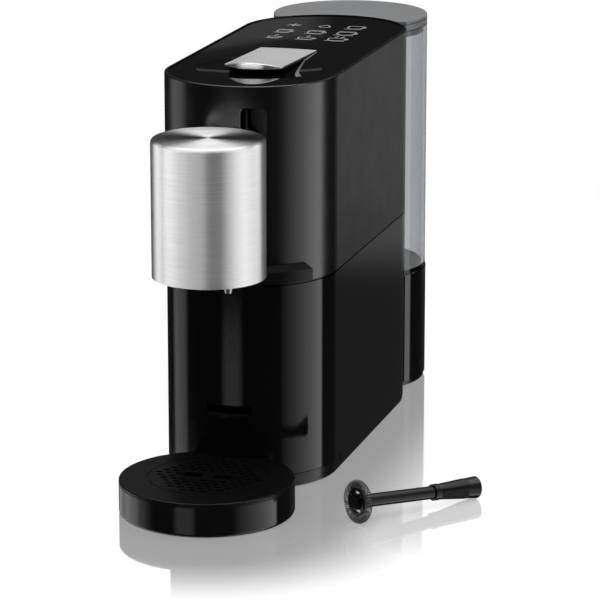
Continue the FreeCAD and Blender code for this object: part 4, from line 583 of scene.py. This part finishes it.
# %% Spring
SPRING_TURNS, SPRING_RING, SPRING_REACH, SPRING_WIRE = 52, 0.0122, 0.0024, 0.00037


def spring_tube(steps_per_turn=18, sides=8):
    """line(s) = ring core(s) + reach n(s), with n = (cos ws cos s, cos ws sin s, sin ws).

    tube(s, v) = line(s) + wire (n cos v + b sin v), b at right angles to n and to the line."""
    s = np.linspace(0, 2 * np.pi, SPRING_TURNS * steps_per_turn, endpoint=False)
    wind = SPRING_TURNS * s
    core = SPRING_RING * np.stack([np.cos(s), np.sin(s), np.zeros_like(s)], axis=1)
    out = np.stack([np.cos(wind) * np.cos(s), np.cos(wind) * np.sin(s), np.sin(wind)], axis=1)
    line = core + SPRING_REACH * out
    ahead = np.roll(line, -1, axis=0) - np.roll(line, 1, axis=0)
    ahead /= np.linalg.norm(ahead, axis=1, keepdims=True)
    side = np.cross(ahead, out)
    v = np.linspace(0, 2 * np.pi, sides, endpoint=False)[None, :, None]
    return line[:, None] + SPRING_WIRE * (out[:, None] * np.cos(v) + side[:, None] * np.sin(v))


spring = grid_object("whisk_spring", lay_along_whisk(spring_tube()), closed_u=True, closed_v=True)
spring.data.materials.append(whisk_wire)
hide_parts("whisk_coil")
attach(spring, "whisk")
print("spring:", SPRING_TURNS, "turns,", len(spring.data.polygons), "faces")

# %% [markdown]
# The sleeve is a profile spun round the whisk: a flared wall with fine ribs, a plain end and a lip that turns in.

# %% Sleeve
SLEEVE_START, SLEEVE_END = 0.0663, 0.0987


def sleeve_profile(count=260):
    """Outer wall = cone + rib (1 - cos) up to the plain end, then the lip, then back down the inner wall."""
    z = np.linspace(SLEEVE_START, SLEEVE_END, count)
    cone = 0.0050 + 0.0025 * (z - 0.066) / 0.0327
    ribbed = np.clip((0.0895 - z) / 0.0008, 0, 1) * np.clip((z - 0.0672) / 0.0008, 0, 1)
    rib = 0.00013 * (1 - np.cos(2 * np.pi * (z - SLEEVE_START) / 0.0015)) * ribbed
    outer = np.stack([cone + 0.00012 + rib, z], axis=1)
    lip = np.array([[0.00755, 0.09882], [0.00735, 0.09895], [0.0064, 0.09895], [0.0062, 0.09885], [0.0062, 0.09875]])
    inner = np.stack([cone[::-20] + 0.00003, z[::-20]], axis=1)
    return np.concatenate([outer, lip, inner])


def spin(profile, spokes=56):
    """A profile of radius and height carried round the Z axis: (r cos a, r sin a, z)."""
    a = np.linspace(0, 2 * np.pi, spokes, endpoint=False)
    r, z = profile[:, :1], profile[:, 1:]
    return np.stack([r * np.cos(a), r * np.sin(a), z + 0 * a], axis=-1)


sleeve = grid_object("grip_sleeve", lay_along_whisk(spin(sleeve_profile())), closed_u=True, closed_v=True)
sleeve.data.materials.append(whisk_black)
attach(sleeve, "whisk")
print("sleeve:", len(sleeve.data.polygons), "faces")

# %% [markdown]
# ## Printed marks
# Nine touch keys are printed on the panel. They have no travel, so they are thin raised print:
# a flat ribbon that follows a drawn line, closed all round, a few hundredths of a millimetre thick.
# Cups of several sizes, a drop, froth and a snow star are plain signs that any such machine may carry.

# %% Ribbon
PRINT_RISE = 0.00006
PRINT_WIDTH = 0.0007


def ribbon(points, width=PRINT_WIDTH):
    """A closed band along a flat line: the line shifted half a width to each side, below and above."""
    line = np.asarray(points, dtype=float)
    ahead = np.gradient(line, axis=0)
    ahead /= np.linalg.norm(ahead, axis=1, keepdims=True)
    aside = np.stack([-ahead[:, 1], ahead[:, 0]], axis=1) * width / 2
    low = np.zeros((len(line), 1))
    high = low + PRINT_RISE
    left, right = line + aside, line - aside
    ring = [np.hstack([left, low]), np.hstack([right, low]), np.hstack([right, high]), np.hstack([left, high])]
    return np.stack(ring, axis=1)


def join_ribbons(name, ribbons):
    """One mesh of many ribbons: each is a tube of four sides whose two ends are closed by a quad."""
    verts, faces, first = [], [], 0
    for band in ribbons:
        count = len(band)
        index = first + np.arange(count * 4).reshape(count, 4)
        turn = np.roll(index, -1, axis=1)
        side = np.stack([index[:-1], index[1:], turn[1:], turn[:-1]], axis=-1).reshape(-1, 4)
        verts.append(band.reshape(-1, 3))
        faces += [side, index[:1, ::-1], index[-1:]]
        first += count * 4
    mesh = bpy.data.meshes.new(name)
    mesh.from_pydata(np.concatenate(verts).tolist(), [], np.concatenate(faces).tolist())
    piece = bpy.data.objects.new(name, mesh)
    bpy.context.scene.collection.objects.link(piece)
    return piece


def arc_line(centre, radii, start, end, count=17):
    """Points of an ellipse between two angles in degrees."""
    a = np.radians(np.linspace(start, end, count))
    return np.stack([centre[0] + radii[0] * np.cos(a), centre[1] + radii[1] * np.sin(a)], axis=1)


def cup_sign(width, height):
    """A cup: straight sides that turn into a round bottom, a rim, an ear and a saucer, all in millimetres."""
    half = width / 2
    bottom = arc_line((0, height * 0.45), (half, height * 0.45), 180, 360)
    bowl = np.concatenate([[[-half, height]], bottom, [[half, height]]])
    rim = [[-half, height], [half, height]]
    ear = arc_line((half, height * 0.62), (1.5, height * 0.22), 75, -75)
    saucer = [[-half * 1.2, -1.1], [half * 1.2, -1.1]]
    return [bowl, rim, ear, saucer]


def steam_sign(height, spread=(0.0,)):
    """Wavy upright lines: x = sin(y) for y from the cup's rim up."""
    y = np.linspace(height + 1.6, height + 6.0, 13)
    return [np.stack([x + 0.6 * np.sin((y - height) * 1.6), y], axis=1) for x in spread]


def drop_sign(size):
    """A drop: a round bottom drawn up to a point."""
    a = np.linspace(0, 2 * np.pi, 33)
    x = size * 0.5 * np.sin(a) * np.sin(a / 2) ** 1.6
    y = size * (0.5 - 0.5 * np.cos(a - np.pi)) + 0.5
    return [np.stack([x, y], axis=1)]


def star_sign(size):
    """A snow star: three lines through one middle."""
    a = np.radians([90.0, 30.0, -30.0])
    arms = size * np.stack([np.cos(a), np.sin(a)], axis=1)
    return [np.stack([(0.0, size) - arm, (0.0, size) + arm]) for arm in arms]


def froth_sign(width, height):
    """Three small arcs side by side above a cup's rim."""
    step = width / 3
    return [arc_line((-width / 3 + i * step, height + 1.2), (step / 2, 1.5), 180, 0, 9) for i in range(3)]


# %% [markdown]
# The signs stand in three rows of three, the front row nearest the lever.

# %% Touch keys
KEY_COLUMNS = np.array([-26.0, -2.0, 21.0])
KEY_ROWS = np.array([61.0, 85.5, 112.5])
SIGN_STRETCH = np.array([1.4, 1.25])
PANEL_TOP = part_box("top_panel")[1][2]
KEY_SIGNS = [
    [cup_sign(6, 5) + steam_sign(5), cup_sign(8, 6) + steam_sign(6), cup_sign(9, 8) + steam_sign(8, (-1.6, 1.6))],
    [cup_sign(7, 7) + froth_sign(7, 7), cup_sign(8, 8) + froth_sign(8, 8), cup_sign(9, 9) + froth_sign(9, 9)],
    [star_sign(4.0), drop_sign(8.5), cup_sign(8, 9)],
]


def place_sign(lines, x, y):
    """Ribbons of one sign, moved to its key and turned into metres."""
    bands = [ribbon(np.asarray(line) * SIGN_STRETCH * 1e-3) for line in lines]
    return [band + np.array([x * 1e-3, y * 1e-3, PANEL_TOP]) for band in bands]


bands = []
for signs, y in zip(KEY_SIGNS, KEY_ROWS):
    for lines, x in zip(signs, KEY_COLUMNS):
        bands += place_sign(lines, x, y)
touch_signs = join_ribbons("touch_signs", bands)
print("touch signs:", len(bands), "lines,", len(touch_signs.data.polygons), "faces")

# %% [markdown]
# Screen print is a flat light grey that is a little uneven in cover.

# %% Print finish
print_white, tree, shader = new_finish("print_white", Base_Color=grey(0.6), Roughness=0.5)
wear(tree, shader, grain(tree, 900.0), 0.4, 0.6)
touch_signs.data.materials.append(print_white)
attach(touch_signs, "chassis")
